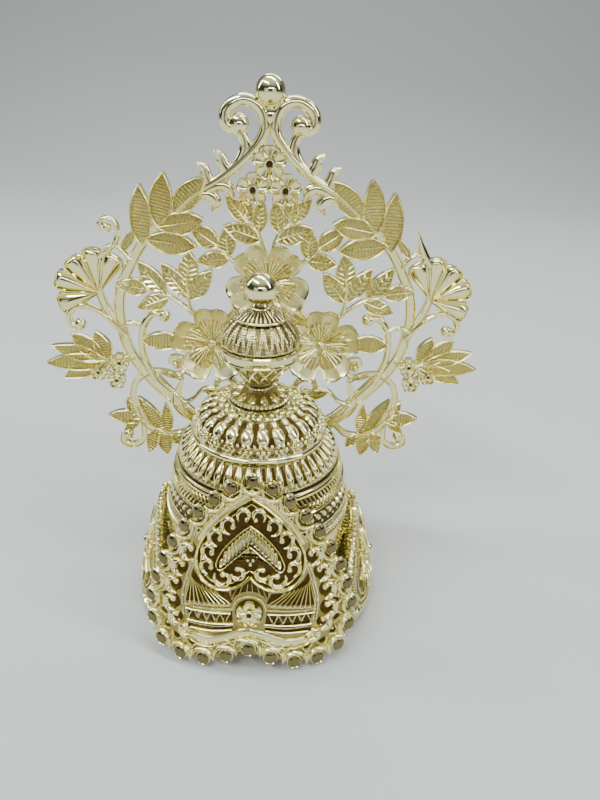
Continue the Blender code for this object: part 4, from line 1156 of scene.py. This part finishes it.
def medallion(work):
    """Smooth ribbons round a ring of scrolls, about a ribbed chevron leaf."""
    work.use(POLISHED)
    for points, widths, rise, pitch in (
        (MEDALLION, [0.8, 0.8], 1.15, 0.35),
        (INNER_LINE, [0.4, 0.4], 0.7, 0.35),
        (OUTER_BAND, [1.1, 1.2, 1.2, 1.0], 0.4, 0.5),
        (OUTER_LINE, [0.35, 0.4], 0.6, 0.5),
    ):
        for side in (1, -1):
            ribbon(work, flipped(points, side), widths, WALL, rise, pitch)
    for side in (1, -1):
        for centre, ball, radius, sweep, ball_r in SCROLLS:
            where = flipped([centre, ball], side)
            curl(work, *where, radius, side * sweep * 1.12, 1.15, WALL, 1.15, ball_r * 0.88)
    for across, up in ((0.0, 23.4), (0.55, 24.3), (-0.55, 24.3)):
        bead(work, (across, up), 0.45, WALL + 0.2, 8)
    work.use(BEADED)
    for k in range(-8, 9):
        across = 0.76 * k
        low, high = height_at(RIB_FEET, abs(across)), height_at(RIB_TOPS, abs(across))
        line = [Vector((across, low + (high - low) * t)) for t in (0.0, 0.1, 0.5, 0.9, 1.0)]
        halves = [0.26, 0.34, 0.34, 0.34, 0.26]
        carved(work, line, halves, lambda t, s: WALL + 1.25 - 0.95 * t - 0.2 * s * s, COARSE)
    work.use(POLISHED)
    for side in (1, -1):
        for edge in (LEAF_TOP, LEAF_FOOT):
            ribbon(work, flipped(edge, side), [0.5, 0.5, 0.45], WALL, 1.15, 0.35)


def flank(work, side):
    """Crescents on discs of painted shadow down one flank, with beads among them."""
    for centre, start in CRESCENTS:
        radius = 1.75 if centre[1] > 10 else 1.4
        end = math.radians(start + 235)
        ball = (centre[0] + 0.85 * math.cos(end), centre[1] + 0.85 * math.sin(end))
        where = [Vector(p) for p in flipped([centre, ball], side)]
        work.use(PAINTED_SHADOW)
        stud(work, where[0], [(radius, WALL - 0.2), (radius - 0.1, WALL + 0.08)], 16)
        work.use(POLISHED)
        curl(work, *where, radius, side * 250, 1.4, WALL, 1.2, 0.6)
    work.use(BEADED)
    for shift, size in ((0.0, 0.27), (-0.62, 0.2)):
        row = [(12.6 + shift, 22.6), (13.7 + shift, 18.6), (14.3 + shift, 14.4), (13.7 + shift, 10.4)]
        bead_row(work, evenly(flipped(row, side), 0.5), size, WALL + 0.2)
    row = [(1.0, 38.9), (4.4, 37.2), (8.0, 34.2), (11.2, 30.6), (12.9, 27.4), (13.0, 25.9)]
    bead_row(work, evenly(flipped(row, side), 0.5), 0.24, WALL + 0.2)
    spots = [(12.5, 22.3), (13.6, 18.4), (14.2, 14.4), (18.3, 18.4), (18.9, 14.2), (18.5, 10.3), (17.2, 7.0)]
    for spot in flipped(spots, side):
        bead(work, spot, 0.36, WALL + 0.15, 7)


def fan_and_truss(work, side):
    """Rays over beaded waves, then rails with zigzag rows of beads between them."""
    work.use(BEADED)
    apex = Vector((side * 12.3, 20.2))
    for k in range(10):
        foot = Vector((side * (13.5 - 1.05 * k), 13.5 + 0.17 * k))
        start = apex.lerp(foot, 0.1 + 0.055 * k)
        ribbon(work, [start, apex.lerp(foot, 0.7), foot], [0.22, 0.3, 0.36], WALL, 0.75, 0.6)
    for stroke in (((-2.7, 18.2), (-3.6, 15.8)), ((-1.5, 18.9), (-2.2, 16.8)), ((-0.4, 19.4), (-0.6, 17.6))):
        ribbon(work, flipped(stroke, side), [0.25, 0.3], WALL, 0.6, 0.6)
    for k in range(9):
        centre = (side * (13.0 - 1.05 * k), 13.4 + 0.17 * k)
        bead_row(work, spiral(centre, 0.5, 180, 180, 1.0, 8), 0.17, WALL + 0.35)
    bead_row(work, evenly(flipped([(13.6, 12.5), (8.5, 12.9), (3.9, 13.5)], side), 0.5), 0.2, WALL + 0.25)
    work.use(POLISHED)
    rails = [[(13.2, 12.0), (8.5, 12.3), (3.7, 12.8)], [(12.6, 9.6), (8.0, 9.9), (3.1, 10.6)]]
    rails.append([(11.8, 8.1), (7.4, 8.4), (3.4, 9.2)])
    for rail in rails:
        ribbon(work, flipped(rail, side), [0.4, 0.4], WALL, 0.8, 0.6)
    work.use(BEADED)
    for k in range(5):
        high, low = 3.95 + 1.9 * k, 4.9 + 1.9 * k
        for start, stop in (((high, 12.4), (low, 10.2)), ((high + 1.9, 12.2), (low, 10.2))):
            if stop[0] < 12.9 and start[0] < 12.9:
                bead_row(work, [Vector(p) for p in flipped([start, stop], side)], 0.16, WALL + 0.2)
    bead_row(work, evenly(flipped([(11.9, 8.9), (7.4, 9.15), (3.4, 9.9)], side), 0.4), 0.17, WALL + 0.2)


def front_plate():
    """The tall pierced plate: studs round a heart, a medallion, fans, a truss, a flower and a foot band."""
    work = Casting("crown_front_plate", [GROUND_FILM_AND_SHADE, BEADED, POLISHED, PAINTED_SHADOW, MIRROR_PAINTED_DARK_REFLECTION])
    shape = smooth_line(heart_half(FRONT_H, FRONT_H * 0.55), 8)
    plate_sheet(work, shape)
    plate_edge(work, spaced(shape, FRONT_STUDS), (0.0, FRONT_H * 0.45))
    medallion(work)
    for side in (1, -1):
        flank(work, side)
    for side in (1, -1):
        fan_and_truss(work, side)
    # flower between the rails, on a disc of painted shadow
    work.use(PAINTED_SHADOW)
    stud(work, (0.0, 12.9), [(3.0, WALL - 0.2), (2.9, WALL + 0.06)], 24)
    bloom(work, (0.0, 12.9), 2.7, WALL + 0.1, 1.2)
    work.use(BEADED)
    arch = [(-3.5, 13.6), (-2.4, 15.7), (0, 16.6), (2.4, 15.7), (3.5, 13.6)]
    bead_row(work, evenly(arch, 0.4), 0.2, WALL + 0.3)
    # smooth band over the foot's studs, with a fine line above and below
    work.use(POLISHED)
    for side in (1, -1):
        ribbon(work, flipped(FOOT_BAND, side), [1.7, 1.8, 1.9, 1.9, 1.6, 0.7], WALL - 0.1, 0.4, 0.5)
    for shift in (1.15, -1.15):
        for side in (1, -1):
            line = [(across, up + shift) for across, up in FOOT_BAND[:6]]
            ribbon(work, flipped(line, side), [0.28, 0.28], WALL, 0.55, 0.5)
    work.wrapped(on_plate(FRONT_BEND_R, 0.0))
    work.piece("front_plate", slot="stamped_gold")


def bloom(work, place, radius, foot, rise):
    """A small flower of five round petals with raised edges, about a ring with painted shadow in its middle.
    """
    for k in range(5):
        angle = math.pi / 2 + 2 * math.pi * k / 5
        way = Vector((math.cos(angle), math.sin(angle)))
        start = Vector(place) + way * radius * 0.16
        work.use(BEADED)
        places = (0.0, 0.12, 0.28, 0.45, 0.62, 0.78, 0.9, 0.97, 1.0)
        line = [start + way * (radius * 0.84 * t) for t in places]
        halves = [radius * share for share in (0.1, 0.18, 0.28, 0.38, 0.44, 0.42, 0.34, 0.24, 0.1)]

        def relief(t, s):
            lip = max(abs(s) ** 4, max(t - 0.8, 0.0) * 5)
            return foot + rise * (0.2 + 0.65 * min(lip, 1.0))

        carved(work, line, halves, relief, (-1, -0.9, -0.75, -0.45, 0, 0.45, 0.75, 0.9, 1))
    ring = spiral(place, radius * 0.27, 0, 360, 1.0, 20)
    wire(work, ring[:-1], [radius * 0.1, radius * 0.1], foot + rise * 0.7, 8, looped=True)
    work.use(PAINTED_SHADOW)
    stud(work, place, [(radius * 0.22, foot), (radius * 0.2, foot + rise * 0.6)], 14)


def side_plate(name, node, turn):
    """A smaller plate: beads and a heavy rope round its edge, raised leaves inside, a ball at its tip."""
    work = Casting(name, [PAINTED_SHADE_GOLD, BEADED, POLISHED])
    shape = smooth_line(heart_half(SIDE_H, SIDE_H * 0.68), 8)
    middle = Vector((0.0, SIDE_H * 0.45))
    # The sheet and the leaves' sunk fields are gold with painted shade.
    flat_sheet(work, mirrored(spaced(shape, 60)), [], 0.0, WALL)

    def inset(share, count):
        return [middle + (p - middle) * share for p in spaced(shape, count)]

    for side in (1, -1):
        flip = Vector((side, 1.0))
        work.use(POLISHED)
        twist(work, [p * flip for p in inset(0.97, 72)], 0.9, 2.4, WALL * 0.6)
        work.use(BEADED)
        rows = [(1.04, 0.34, -0.1), (0.87, 0.3, 0.5), (0.8, 0.36, 0.3), (0.71, 0.24, 0.35)]
        rows += [(1.02, 0.42, -0.9), (1.0, 0.42, -1.6), (0.97, 0.42, -2.3)]
        for share, size, depth in rows:
            bead_row(work, [p * flip for p in inset(share, 40)], size, WALL + depth)
    tips = ((0, 0.8), (-0.2, 0.73), (0.2, 0.73), (-0.37, 0.58), (0.37, 0.58), (-0.45, 0.38), (0.45, 0.38))
    for across, up in (*tips, (-0.36, 0.2), (0.36, 0.2)):
        base, tip = Vector((across * SIDE_H * 0.22, 0.38 * SIDE_H)), Vector((across * SIDE_H, up * SIDE_H))
        leaf(work, base, tip, 4.3, WALL, 1.4, style="veined", lines=7)
        bead_row(work, [base.lerp(tip, t) for t in (0.2, 0.5, 0.85)], 0.22, WALL + 1.35)
    work.use(POLISHED)
    bead(work, (0.0, 0.38 * SIDE_H), 1.5, WALL + 0.9, 16)
    stalk = [Vector((0.0, SIDE_H, WALL * 0.6)), Vector((0.0, SIDE_H + 1.6, WALL * 0.8))]
    wire(work, stalk, [0.4, 0.3], 0.0, 10)
    bead(work, (0.0, SIDE_H + 1.6), 0.85, WALL * 0.8, 14)
    work.wrapped(on_plate(SIDE_BEND_R, turn))
    work.piece(node, slot="stamped_gold")


# ---------------------------------------------------------------- halo

# the arch's right half from its foot to the inner arm at the top: points across and up
ARCH = [(2, 25.4), (8.7, 25.2), (15, 28.2), (20.8, 34.4), (27, 41), (31, 48), (32.4, 56), (31.6, 62.4)]
ARCH += [(29.2, 67.4), (26.6, 71.8), (23.2, 75.6), (18.8, 79.2), (14.3, 82.9), (9.2, 86), (4.4, 90)]
ARCH += [(1.3, 93.8), (1.2, 97), (2.8, 99.2), (5.5, 99.8), (8.2, 98.2), (8.6, 95.8), (6.8, 94.6)]

LOWER_LOOP = [(19.6, 41), (23, 42.6), (27, 42.6), (30.4, 40), (31.4, 36), (30.8, 31.8), (28.2, 27.8)]
LOWER_LOOP += [(24.2, 25.8), (20.2, 26.2), (17.4, 28.8)]

# other stems of the right half: points and widths
STEMS = [
    ([(5.8, 94.4), (4.9, 92.6), (4.9, 90.6), (6.4, 88.2), (9.4, 85.8)], [1.7, 2.5, 2.3, 1.5]),
    ([(7.8, 26.6), (16, 31.3), (21.8, 37.4), (26.4, 43)], [0.9, 0.9]),
    ([(7.9, 86.4), (9.2, 88.3), (9.5, 89.7), (10.9, 90.7)], [3.2, 2.7, 2.0, 0.6]),
    ([(11.9, 84), (12.6, 86), (12.9, 87.5), (14.3, 88.3)], [3.2, 2.7, 2.0, 0.6]),
    ([(12.5, 83.3), (9.7, 84.3), (7.9, 83.6), (7.2, 81.9)], [2.0, 2.6, 2.4, 0.7]),
    ([(14, 82.2), (12.1, 82.4), (10.7, 81), (11.5, 79.3)], [2.0, 2.7, 2.5, 0.6]),
    ([(36, 68.4), (34, 71), (31.6, 71.4), (29, 68.6)], [1.1, 1.0, 1.1]),
    ([(36.4, 62), (35, 57.6), (31.6, 51.4)], [1.8, 1.6]),
    ([(31.8, 52), (35.7, 56.2), (39.6, 58.3), (42.8, 57.2), (43.6, 54.6), (42, 53)], [1.6, 1.5, 1.5, 1.6]),
    ([(25.6, 40.2), (27.6, 45), (28.2, 50), (27.4, 54), (25.4, 56.6), (23, 56.6)], [1.5, 1.7, 1.8]),
    ([(32.6, 53.6), (29.8, 54.6), (27, 53.4)], [1.1, 1.0]),
    ([(0.2, 69.4), (2.3, 75.2), (5.2, 78.8)], [1.1, 0.8]),
    ([(4.4, 66.4), (8.1, 69.6), (11.6, 73)], [1.1, 0.8]),
    ([(13.4, 54), (16.8, 57.8), (17.4, 64.8)], [1.2, 0.8]),
    ([(15.8, 56.6), (21.2, 60.8), (27, 62.8)], [1.1, 0.8]),
    ([(30, 46.6), (33.6, 45.6), (38.6, 45.4)], [1.4, 1.4]),
    (LOWER_LOOP, [1.2, 1.7, 1.6]),
    ([(29.6, 29), (29.8, 24.6), (32.4, 22.5), (34.8, 23.6), (34.6, 25.6)], [1.2, 1.6, 1.5]),
    ([(16.4, 29.2), (20, 32.2), (21.2, 35.9), (19.6, 41)], [1.0, 2.8, 0.8]),
    ([(24.2, 42.8), (21.4, 41.8), (18.8, 43.4), (19.2, 46), (21.6, 46.4), (22, 44.8)], [1.3, 1.2, 1.4]),
    ([(2.4, 33.4), (5.4, 37.4), (8.1, 41), (11.2, 40.8), (11.6, 38), (9.5, 37.4)], [1.2, 1.2, 1.5]),
    ([(11.4, 38.6), (14.9, 38.2), (17.6, 35.4), (20.6, 34.2)], [0.9, 0.9]),
    ([(35.4, 45.2), (36.8, 42.4), (33.8, 40.2)], [1.2, 1.2]),
]
LEFT_CURL = [(35.6, 69.2), (33, 71), (31.2, 73.4), (31.4, 76.2), (33.2, 77.2), (34.6, 76), (33.8, 74.8)]
RIGHT_STUMP = [(35.4, 69.2), (33.2, 72.4), (31.8, 76.2)]

# polished stems, by their place in the list
SMOOTH_STEMS = (0, 2, 3, 4, 5, 8, 9)

# leaves: base, tip, width, and how the edge is cut
PLAIN, TOOTHED, HATCHED, RIBBED = 0, 1, 2, 3
LEAVES = [
    ((26.2, 72.2), (25.8, 84.1), 4.4, HATCHED),
    ((22.6, 76), (20.9, 86.5), 4.6, HATCHED),
    ((19.3, 78.7), (13, 85.9), 4.8, HATCHED),
    ((22.8, 75.9), (13.4, 77.6), 4.8, RIBBED),
    ((25.4, 73.4), (15, 72), 4.8, RIBBED),
    ((30.6, 70.6), (27.4, 75.2), 1.8, PLAIN),
    ((4.1, 77.2), (8.7, 82.4), 3.3, TOOTHED),
    ((3.8, 77), (5.5, 83), 3.1, TOOTHED),
    ((2.2, 75.2), (1.3, 81.8), 3.2, TOOTHED),
    ((1.5, 73.8), (9.3, 76.4), 4.2, TOOTHED),
    ((10.6, 72.2), (15.8, 76), 4.2, TOOTHED),
    ((8.4, 70), (8.9, 76), 3.8, TOOTHED),
    ((8.3, 69.6), (14.9, 69), 3.7, TOOTHED),
    ((17.3, 63.4), (16.5, 70.9), 4.4, TOOTHED),
    ((17.1, 60.6), (12, 67), 4.2, TOOTHED),
    ((17.2, 60.8), (22.6, 68.2), 4.0, TOOTHED),
    ((22, 61), (27.4, 68.4), 4.1, TOOTHED),
    ((25.8, 62.4), (32.5, 63.6), 3.8, TOOTHED),
    ((21.4, 60.8), (28.2, 58.3), 3.8, TOOTHED),
    ((28, 50.4), (18.6, 50.6), 4.2, HATCHED),
    ((35.6, 45.4), (50, 44.6), 4.4, HATCHED),
    ((36.8, 45.6), (48.2, 48.8), 3.8, HATCHED),
    ((36.8, 45.4), (43.4, 51.8), 4.4, HATCHED),
    ((36, 45.4), (38.2, 52.4), 4.0, HATCHED),
    ((37.4, 45.2), (46.4, 41), 3.8, HATCHED),
    ((29.6, 30.2), (37.6, 31), 3.8, HATCHED),
    ((30.4, 30.6), (33, 35.4), 2.6, HATCHED),
    ((30.2, 30.2), (34.4, 26.6), 2.4, HATCHED),
    ((24.4, 26.2), (30.2, 36), 3.2, HATCHED),
    ((23.6, 26), (24, 34.2), 3.0, HATCHED),
    ((26.4, 27), (28.8, 20.6), 3.2, HATCHED),
    ((25.2, 26.4), (24.2, 20), 3.6, HATCHED),
    ((22.8, 26), (20.4, 22.4), 2.6, HATCHED),
    ((14.9, 38.2), (9.2, 35.6), 2.2, PLAIN),
]
FAN_FOOT = (36.4, 61.4)
FAN_TIPS = [(32.2, 69.8), (36.8, 71.2), (41.6, 69), (45.3, 64.6), (45.3, 58.4)]
SCROLL_BALLS = [((6, 95.6), 2.0), ((41.3, 54), 1.3), ((22.8, 56.3), 1.4), ((20.9, 44.4), 1.1)]
SCROLL_BALLS += [((33.4, 25.4), 1.3), ((9.1, 38), 1.1)]
SMALL_FLOWERS = [((0, 88.8), 3.4), ((3.3, 83.8), 3.3), ((33.6, 45), 2.3), ((38.6, 42.6), 2.0)]
SMALL_FLOWERS.append(((34.6, 40.6), 2.1))
LARGE_FLOWERS = {"flower_top": ((0.0, 65.2), math.pi), "flower_right": ((12.2, 51.0), 0.0)}
LARGE_FLOWERS["flower_left"] = ((-12.2, 51.0), 0.0)


def fan_lobe(work, foot, tip):
    """A polished teardrop that swells towards its tip inside a raised rim."""
    along = tip - foot
    shares = [(0.0, 0.15), (0.25, 0.85), (0.5, 1.7), (0.7, 2.35), (0.84, 2.55), (0.94, 2.05)]
    shares += [(0.985, 1.1), (1.0, 0.3)]
    line = evenly([foot + along * t for t, half in shares], 0.3, 8)
    halves = []
    for point in line:
        place = (point - foot).length / along.length
        k = max(i for i, (t, half) in enumerate(shares[:-1]) if t <= place + 1e-6)
        low, high = shares[k], shares[k + 1]
        halves.append(low[1] + (high[1] - low[1]) * min(max((place - low[0]) / (high[0] - low[0]), 0), 1))

    def relief(t, s):
        edge = max(abs(s), (t - 0.86) / 0.14)
        if edge > 0.97:
            return HALO_SHEET * 0.7
        if edge > 0.8:
            return HALO_SHEET + 0.3
        if edge > 0.7:
            return HALO_SHEET * 0.55
        return HALO_SHEET * 0.55 + 1.1 * math.sqrt(max(1 - (edge / 0.7) ** 2, 0.0)) * min(1.0, 0.25 + t)

    half = (0.25, 0.5, 0.69, 0.76, 0.84, 0.93, 1)
    work.use(POLISHED)
    carved(work, line, halves, relief, (*(-s for s in reversed(half)), 0, *half))


def halo_plate():
    """Every stem, leaf, lobe and small flower of the pierced sheet."""
    work = Casting("halo_tracery", [LEAF_FIELD_SHADE, BEADED, POLISHED, PAINTED_SHADOW])
    # The leaves' sunk fields are leaf gold with painted shade, and the small flowers' middles are painted
    # shadow.
    work.use(BEADED)
    patch(work, [(-3, 25.4), (3, 25.4), (3, 44), (-3, 44)], 0.0, 0.8)
    half_sheet = HALO_SHEET * 0.5
    seats = [Vector(place) for place, turn in LARGE_FLOWERS.values()]
    for seat in seats:
        stud(work, seat, [(5.2, 0.0), (5.2, FLOWER_SEAT_T - 0.15), (5.05, FLOWER_SEAT_T)], 40)
        ribbon(work, [(0, 42), seat], [3.0, 3.0], FLOWER_SEAT_T * 0.5, 0.6, rimmed=True)
    for seat in seats[1:]:
        ribbon(work, [seats[0], seat], [3.0, 3.0], FLOWER_SEAT_T * 0.5, 0.6, rimmed=True)
    patch(work, [(-4, 83), (4, 83), (1, 88), (-1, 88)], 0.0, 0.45)
    for side in (1, -1):
        # the arch is double as far as the leaves end, and one smooth round arm above
        path = flipped(ARCH, side)
        work.use(BEADED)
        ribbon(work, path[:13], [2.0, 2.2, 2.6, 2.5, 2.3, 2.2, 2.2], half_sheet, 0.75, rimmed=True)
        work.use(POLISHED)
        ribbon(work, path[11:], [1.7, 1.9, 2.0, 2.1, 2.4, 2.4, 2.2], HALO_SHEET * 0.45, 1.0, 0.4)
        for k, (points, widths) in enumerate(STEMS):
            smooth = k in SMOOTH_STEMS
            work.use(POLISHED if smooth else BEADED)
            rimmed = max(widths) >= 1.4 and not smooth
            ribbon(work, flipped(points, side), widths, half_sheet, 0.8, rimmed=rimmed)
        work.use(POLISHED)
        for place, radius in SCROLL_BALLS:
            profile = [(radius, 0.0), *dome_profile(radius, 0.5, radius * 0.8)]
            stud(work, (side * place[0], place[1]), profile)
        for base, tip, width, cut in LEAVES:
            base, tip = (Vector(p) for p in flipped([base, tip], side))
            foot = 1.0 if base.y > 72 and abs(base.x) > 18 else 0.4
            if cut == TOOTHED:
                leaf(work, base, tip, width, foot, 0.9, style="veined", lines=6, belly=0.45)
            elif cut == RIBBED:
                leaf(work, base, tip, width, foot, 0.9, style="ribbed", lines=12, belly=0.5)
            elif cut == HATCHED:
                lines = round((tip - base).length / 0.85)
                leaf(work, base, tip, width, foot, 0.9, style="hatched", lines=lines, belly=0.47)
            else:
                leaf(work, base, tip, width, 0.4, 0.7)
        for tip in FAN_TIPS:
            fan_lobe(work, *(Vector(p) for p in flipped([FAN_FOOT, tip], side)))
        for place, radius in SMALL_FLOWERS:
            if place[0] > 0 or side > 0:
                bloom(work, (side * place[0], place[1]), radius, 0.7, 1.0)
    work.use(POLISHED)
    ribbon(work, flipped(LEFT_CURL, -1), [1.5, 1.2, 1.1, 1.2], half_sheet, 0.8)
    stud(work, (-33.2, 75.2), [(1.0, 0.0), *dome_profile(1.0, 0.5, 0.75, 5)], 16)
    ribbon(work, RIGHT_STUMP, [1.7, 1.9, 0.3], half_sheet, 0.8)
    # the seat of the ball, between the two arms
    stud(work, (0.0, 97.2), [(1.7, 0.0), (1.6, 0.9), (0.9, 1.3)], 20)
    work.wrapped(on_halo)
    work.piece("halo_plate", slot="pierced_gold")


def large_flower(node, place, turn):
    """Five cupped petals with notched tips: smooth fingers, a frosted field and a raised rim."""
    work = Casting(node.replace("flower", "halo_flower"), [SATIN, POLISHED, FROSTED])
    turns = [k / 150 for k in range(150)]
    rings = [0.08, 0.16, 0.28, 0.42, 0.52, 0.6, 0.68, 0.78, 0.87, 0.92, 0.95, 0.985, 1.0]

    def petal_point(spin, share, above):
        # how far this place is from the petal's middle, from -1 to 1
        off = (5 * spin + 0.5) % 1.0 * 2 - 1
        edge = 1.0 - 0.075 * math.exp(-((off / 0.2) ** 2)) - 0.4 * abs(off) ** 3.4 + 0.012 * math.cos(9 * off)
        radius = FLOWER_R * share * (1.0 - (1.0 - edge) * share**1.6)
        cup = FLOWER_R * (0.05 + 0.24 * share**1.7) - 1.2 * share * off**4 + 0.3 * share**2 * (1 - abs(off))
        angle = 2 * math.pi * spin + math.pi / 2 + turn
        depth = max(cup, 0.0) + 0.1 * math.cos(5 * off) * share**2 + above
        return radius * math.cos(angle), radius * math.sin(angle), depth

    back = [[petal_point(spin, share, 0.0) for spin in turns] for share in rings]
    front = []
    for share in rings:
        lip = FLOWER_SHEET + (0.3 if share > 0.93 else 0.0)
        front.append([petal_point(spin, share, lip) for spin in turns])
    bands = [SATIN] * len(rings)
    for share in reversed(rings[:-1]):
        bands.append(POLISHED if share > 0.93 else FROSTED if share > 0.6 else SATIN)
    work.skin([*back, *reversed(front)], closed=True, ends=True, bands=bands)
    work.use(POLISHED)
    for petal in range(5):
        for finger in range(-3, 4):
            middle = (petal + 0.135 * finger) / 5
            end = 0.82 - 0.12 * (finger % 2) - 0.04 * abs(finger)
            rows = []
            for k, half in enumerate((0.1, 0.17, 0.24, 0.29, 0.33, 0.35, 0.36, 0.33, 0.24, 0.08)):
                share = 0.15 + (end - 0.15) * (k / 9) ** 0.9
                row = []
                for s in (-1, -0.7, -0.3, 0.3, 0.7, 1):
                    spin = middle + s * half / (2 * math.pi * FLOWER_R * share)
                    rise = 0.5 * math.sqrt(1 - s * s) * min(half * 3.5, 1)
                    row.append(petal_point(spin, share, FLOWER_SHEET - 0.05 + rise))
                rows.append([*row, petal_point(middle, share, FLOWER_SHEET - 0.2)])
            work.skin(rows, closed=True, ends=True)
    stud(work, (0.0, 0.0), [(1.15, 0.3), (1.15, 1.0), *dome_profile(1.1, 1.1, 1.0)], 24)
    work.points = [(a + place[0], u + place[1], d + FLOWER_SEAT_T + SEAM) for a, u, d in work.points]
    work.wrapped(on_halo)
    work.piece(node, slot="stamped_gold", sharp=60)


def bracket():
    """A plain strap between the collar and the halo's foot, with softened edges."""
    work = Casting("halo_strap", [POLISHED])
    half = BRACKET_W / 2
    low, high = COLLAR_Z + ROPE_H, COLLAR_Z + ROPE_H + BRACKET_H
    rows = []
    back = HALO_Y - SEAM
    for z, pull in ((low, 0.2), (low + 0.2, 0.0), (high - 0.2, 0.0), (high, 0.2)):
        seat = COLLAR_FOOT_R + ROPE + SEAM - (z - COLLAR_Z) * math.tan(LEAN)
        row = []
        for k in range(9):
            x = (-half + pull) + 2 * (half - pull) * k / 8
            row.append((x, math.sqrt(seat**2 - x**2) + pull * 0.3, z))
        for k in range(5):
            x = (half - pull) - 2 * (half - pull) * k / 4
            row.append((x, back + x * math.tan(HALO_TURN) - pull, z))
        rows.append(row)
    work.skin(rows, closed=True, ends=True)
    work.piece("halo_bracket", slot="polished_gold")


# ---------------------------------------------------------------- studio


def floor():
    """A sheet of pale paper that lies flat and then curves up behind the crown."""
    run = [(-6.0, 0.0), (-0.6, 0.0), (0.0, 0.0), (0.5, 0.0)]
    turns = [math.pi / 2 * k / 24 for k in range(1, 25)]
    run += [(0.5 + 0.5 * math.sin(t), 0.5 - 0.5 * math.cos(t)) for t in turns]
    run += [(1.0, 0.9), (1.0, 1.6)]
    points = [(x, y, z) for x in (-6.0, 6.0) for y, z in run]
    count = len(run)
    mesh = bpy.data.meshes.new("studio_floor")
    mesh.from_pydata(points, [], [(k + 1, k, count + k, count + k + 1) for k in range(count - 1)])
    mesh.shade_smooth()
    obj = bpy.data.objects.new("studio_floor", mesh)
    bpy.context.scene.collection.objects.link(obj)
    paper = bpy.data.materials.new("pale paper")
    paper.use_nodes = True
    shader = paper.node_tree.nodes["Principled BSDF"]
    shader.inputs["Base Color"].default_value = (0.52, 0.51, 0.49, 1)
    shader.inputs["Roughness"].default_value = 0.85
    mesh.materials.append(paper)


COOL = (0.86, 0.97, 1.0)


def softbox(name, place, aim, size, power, colour=(1.0, 1.0, 1.0)):
    light = bpy.data.lights.new(name, "AREA")
    light.shape = "RECTANGLE"
    light.size, light.size_y = size
    light.energy = power
    light.color = colour
    obj = bpy.data.objects.new(name, light)
    bpy.context.scene.collection.objects.link(obj)
    obj.location = place
    obj.rotation_euler = (Vector(aim) - Vector(place)).to_track_quat("-Z", "Y").to_euler()


def room():
    """Dark low walls and a bright ceiling, which the gold reflects."""
    world = bpy.data.worlds.new("studio")
    bpy.context.scene.world = world
    world.use_nodes = True
    tree = world.node_tree
    background = tree.nodes["Background"]
    where = add_node(tree, "ShaderNodeTexCoord").outputs["Generated"]
    height = add_node(tree, "ShaderNodeSeparateXYZ", [("Vector", where)]).outputs["Z"]
    ramp = add_node(tree, "ShaderNodeValToRGB", [("Fac", height)])
    ramp.color_ramp.elements[0].position = 0.4
    ramp.color_ramp.elements[0].color = (0.05, 0.048, 0.045, 1)
    ramp.color_ramp.elements[1].position = 0.9
    ramp.color_ramp.elements[1].color = (0.72, 0.8, 0.82, 1)
    tree.links.new(ramp.outputs["Color"], background.inputs["Color"])
    background.inputs["Strength"].default_value = 0.95


def camera():
    """Where the photograph was taken from: close, a little to the right, and looking down."""
    lens = bpy.data.cameras.new("photo view")
    lens.sensor_fit = "AUTO"
    lens.sensor_width = 36.0
    lens.lens = 26.1
    lens.clip_start = 0.005
    lens.clip_end = 10.0
    obj = bpy.data.objects.new("photo view", lens)
    bpy.context.scene.collection.objects.link(obj)
    pitch, roll, yaw = math.radians(28.45), math.radians(2.75), math.radians(-0.7)
    spin = Matrix.Rotation(yaw, 3, "Z")
    ahead = spin @ Vector((0, math.cos(pitch), -math.sin(pitch)))
    above = spin @ Vector((0, math.sin(pitch), math.cos(pitch)))
    right = spin @ Vector((1, 0, 0))
    side = right * math.cos(roll) + above * math.sin(roll)
    above = above * math.cos(roll) - right * math.sin(roll)
    turned = Matrix((side, above, -ahead)).transposed().to_4x4()
    obj.matrix_world = Matrix.Translation((0.00678, -0.10093, 0.1026)) @ turned
    bpy.context.scene.camera = obj


skirt()
collar()
petal_band()
dome()
neck()
spire_half("basket_work", "spire_basket", BASKET_FOOT_R, BASKET_TOP_R, BASKET_Z, BASKET_H, 0.2, basket_work)
spire_band()
lantern = (LANTERN_FOOT_R, LANTERN_TOP_R, LANTERN_Z, LANTERN_H, LANTERN_BULGE, lantern_work)
spire_half("lantern_work", "spire_lantern", *lantern)
spire_cap()
ball_z = FINIAL_Z + SHANK_H + math.sqrt(BALL_R**2 - SHANK_R**2)
turned_ball("spire_top_ball", "spire_ball", (0, 0, ball_z), BALL_R, FINIAL_Z)
front_plate()
side_plate("crown_right_plate", "side_plate_right", math.pi / 2)
side_plate("crown_left_plate", "side_plate_left", -math.pi / 2)
halo_plate()
halo_ball_at = on_halo((0, HALO_TOP + SEAM + HALO_BALL_R, HALO_SHEET / 2))
turned_ball("halo_top_ball", "halo_ball", halo_ball_at, HALO_BALL_R)
for node, (place, turn) in LARGE_FLOWERS.items():
    large_flower(node, place, turn)
bracket()
floor()
room()
softbox("key", (-0.32, -0.28, 0.68), (0, 0, 0.05), (0.5, 0.06), 4.0, COOL)
softbox("ceiling", (0.05, 0.1, 0.85), (0, 0, 0.05), (0.7, 0.07), 4.6, COOL)
softbox("right", (0.5, -0.15, 0.42), (0, 0, 0.05), (0.04, 0.45), 2.0, COOL)
softbox("left", (-0.55, 0.1, 0.4), (0, 0, 0.05), (0.04, 0.45), 1.5, COOL)
softbox("front", (0.1, -0.62, 0.3), (0, 0, 0.03), (0.5, 0.03), 1.0)
softbox("low left", (-0.34, -0.6, 0.16), (0, 0, 0.03), (0.34, 0.26), 0.22)
softbox("low right", (0.36, -0.58, 0.16), (0, 0, 0.03), (0.34, 0.26), 0.22)
softbox("back", (0.1, 0.5, 0.5), (0, 0, 0.07), (0.6, 0.04), 1.7)
camera()
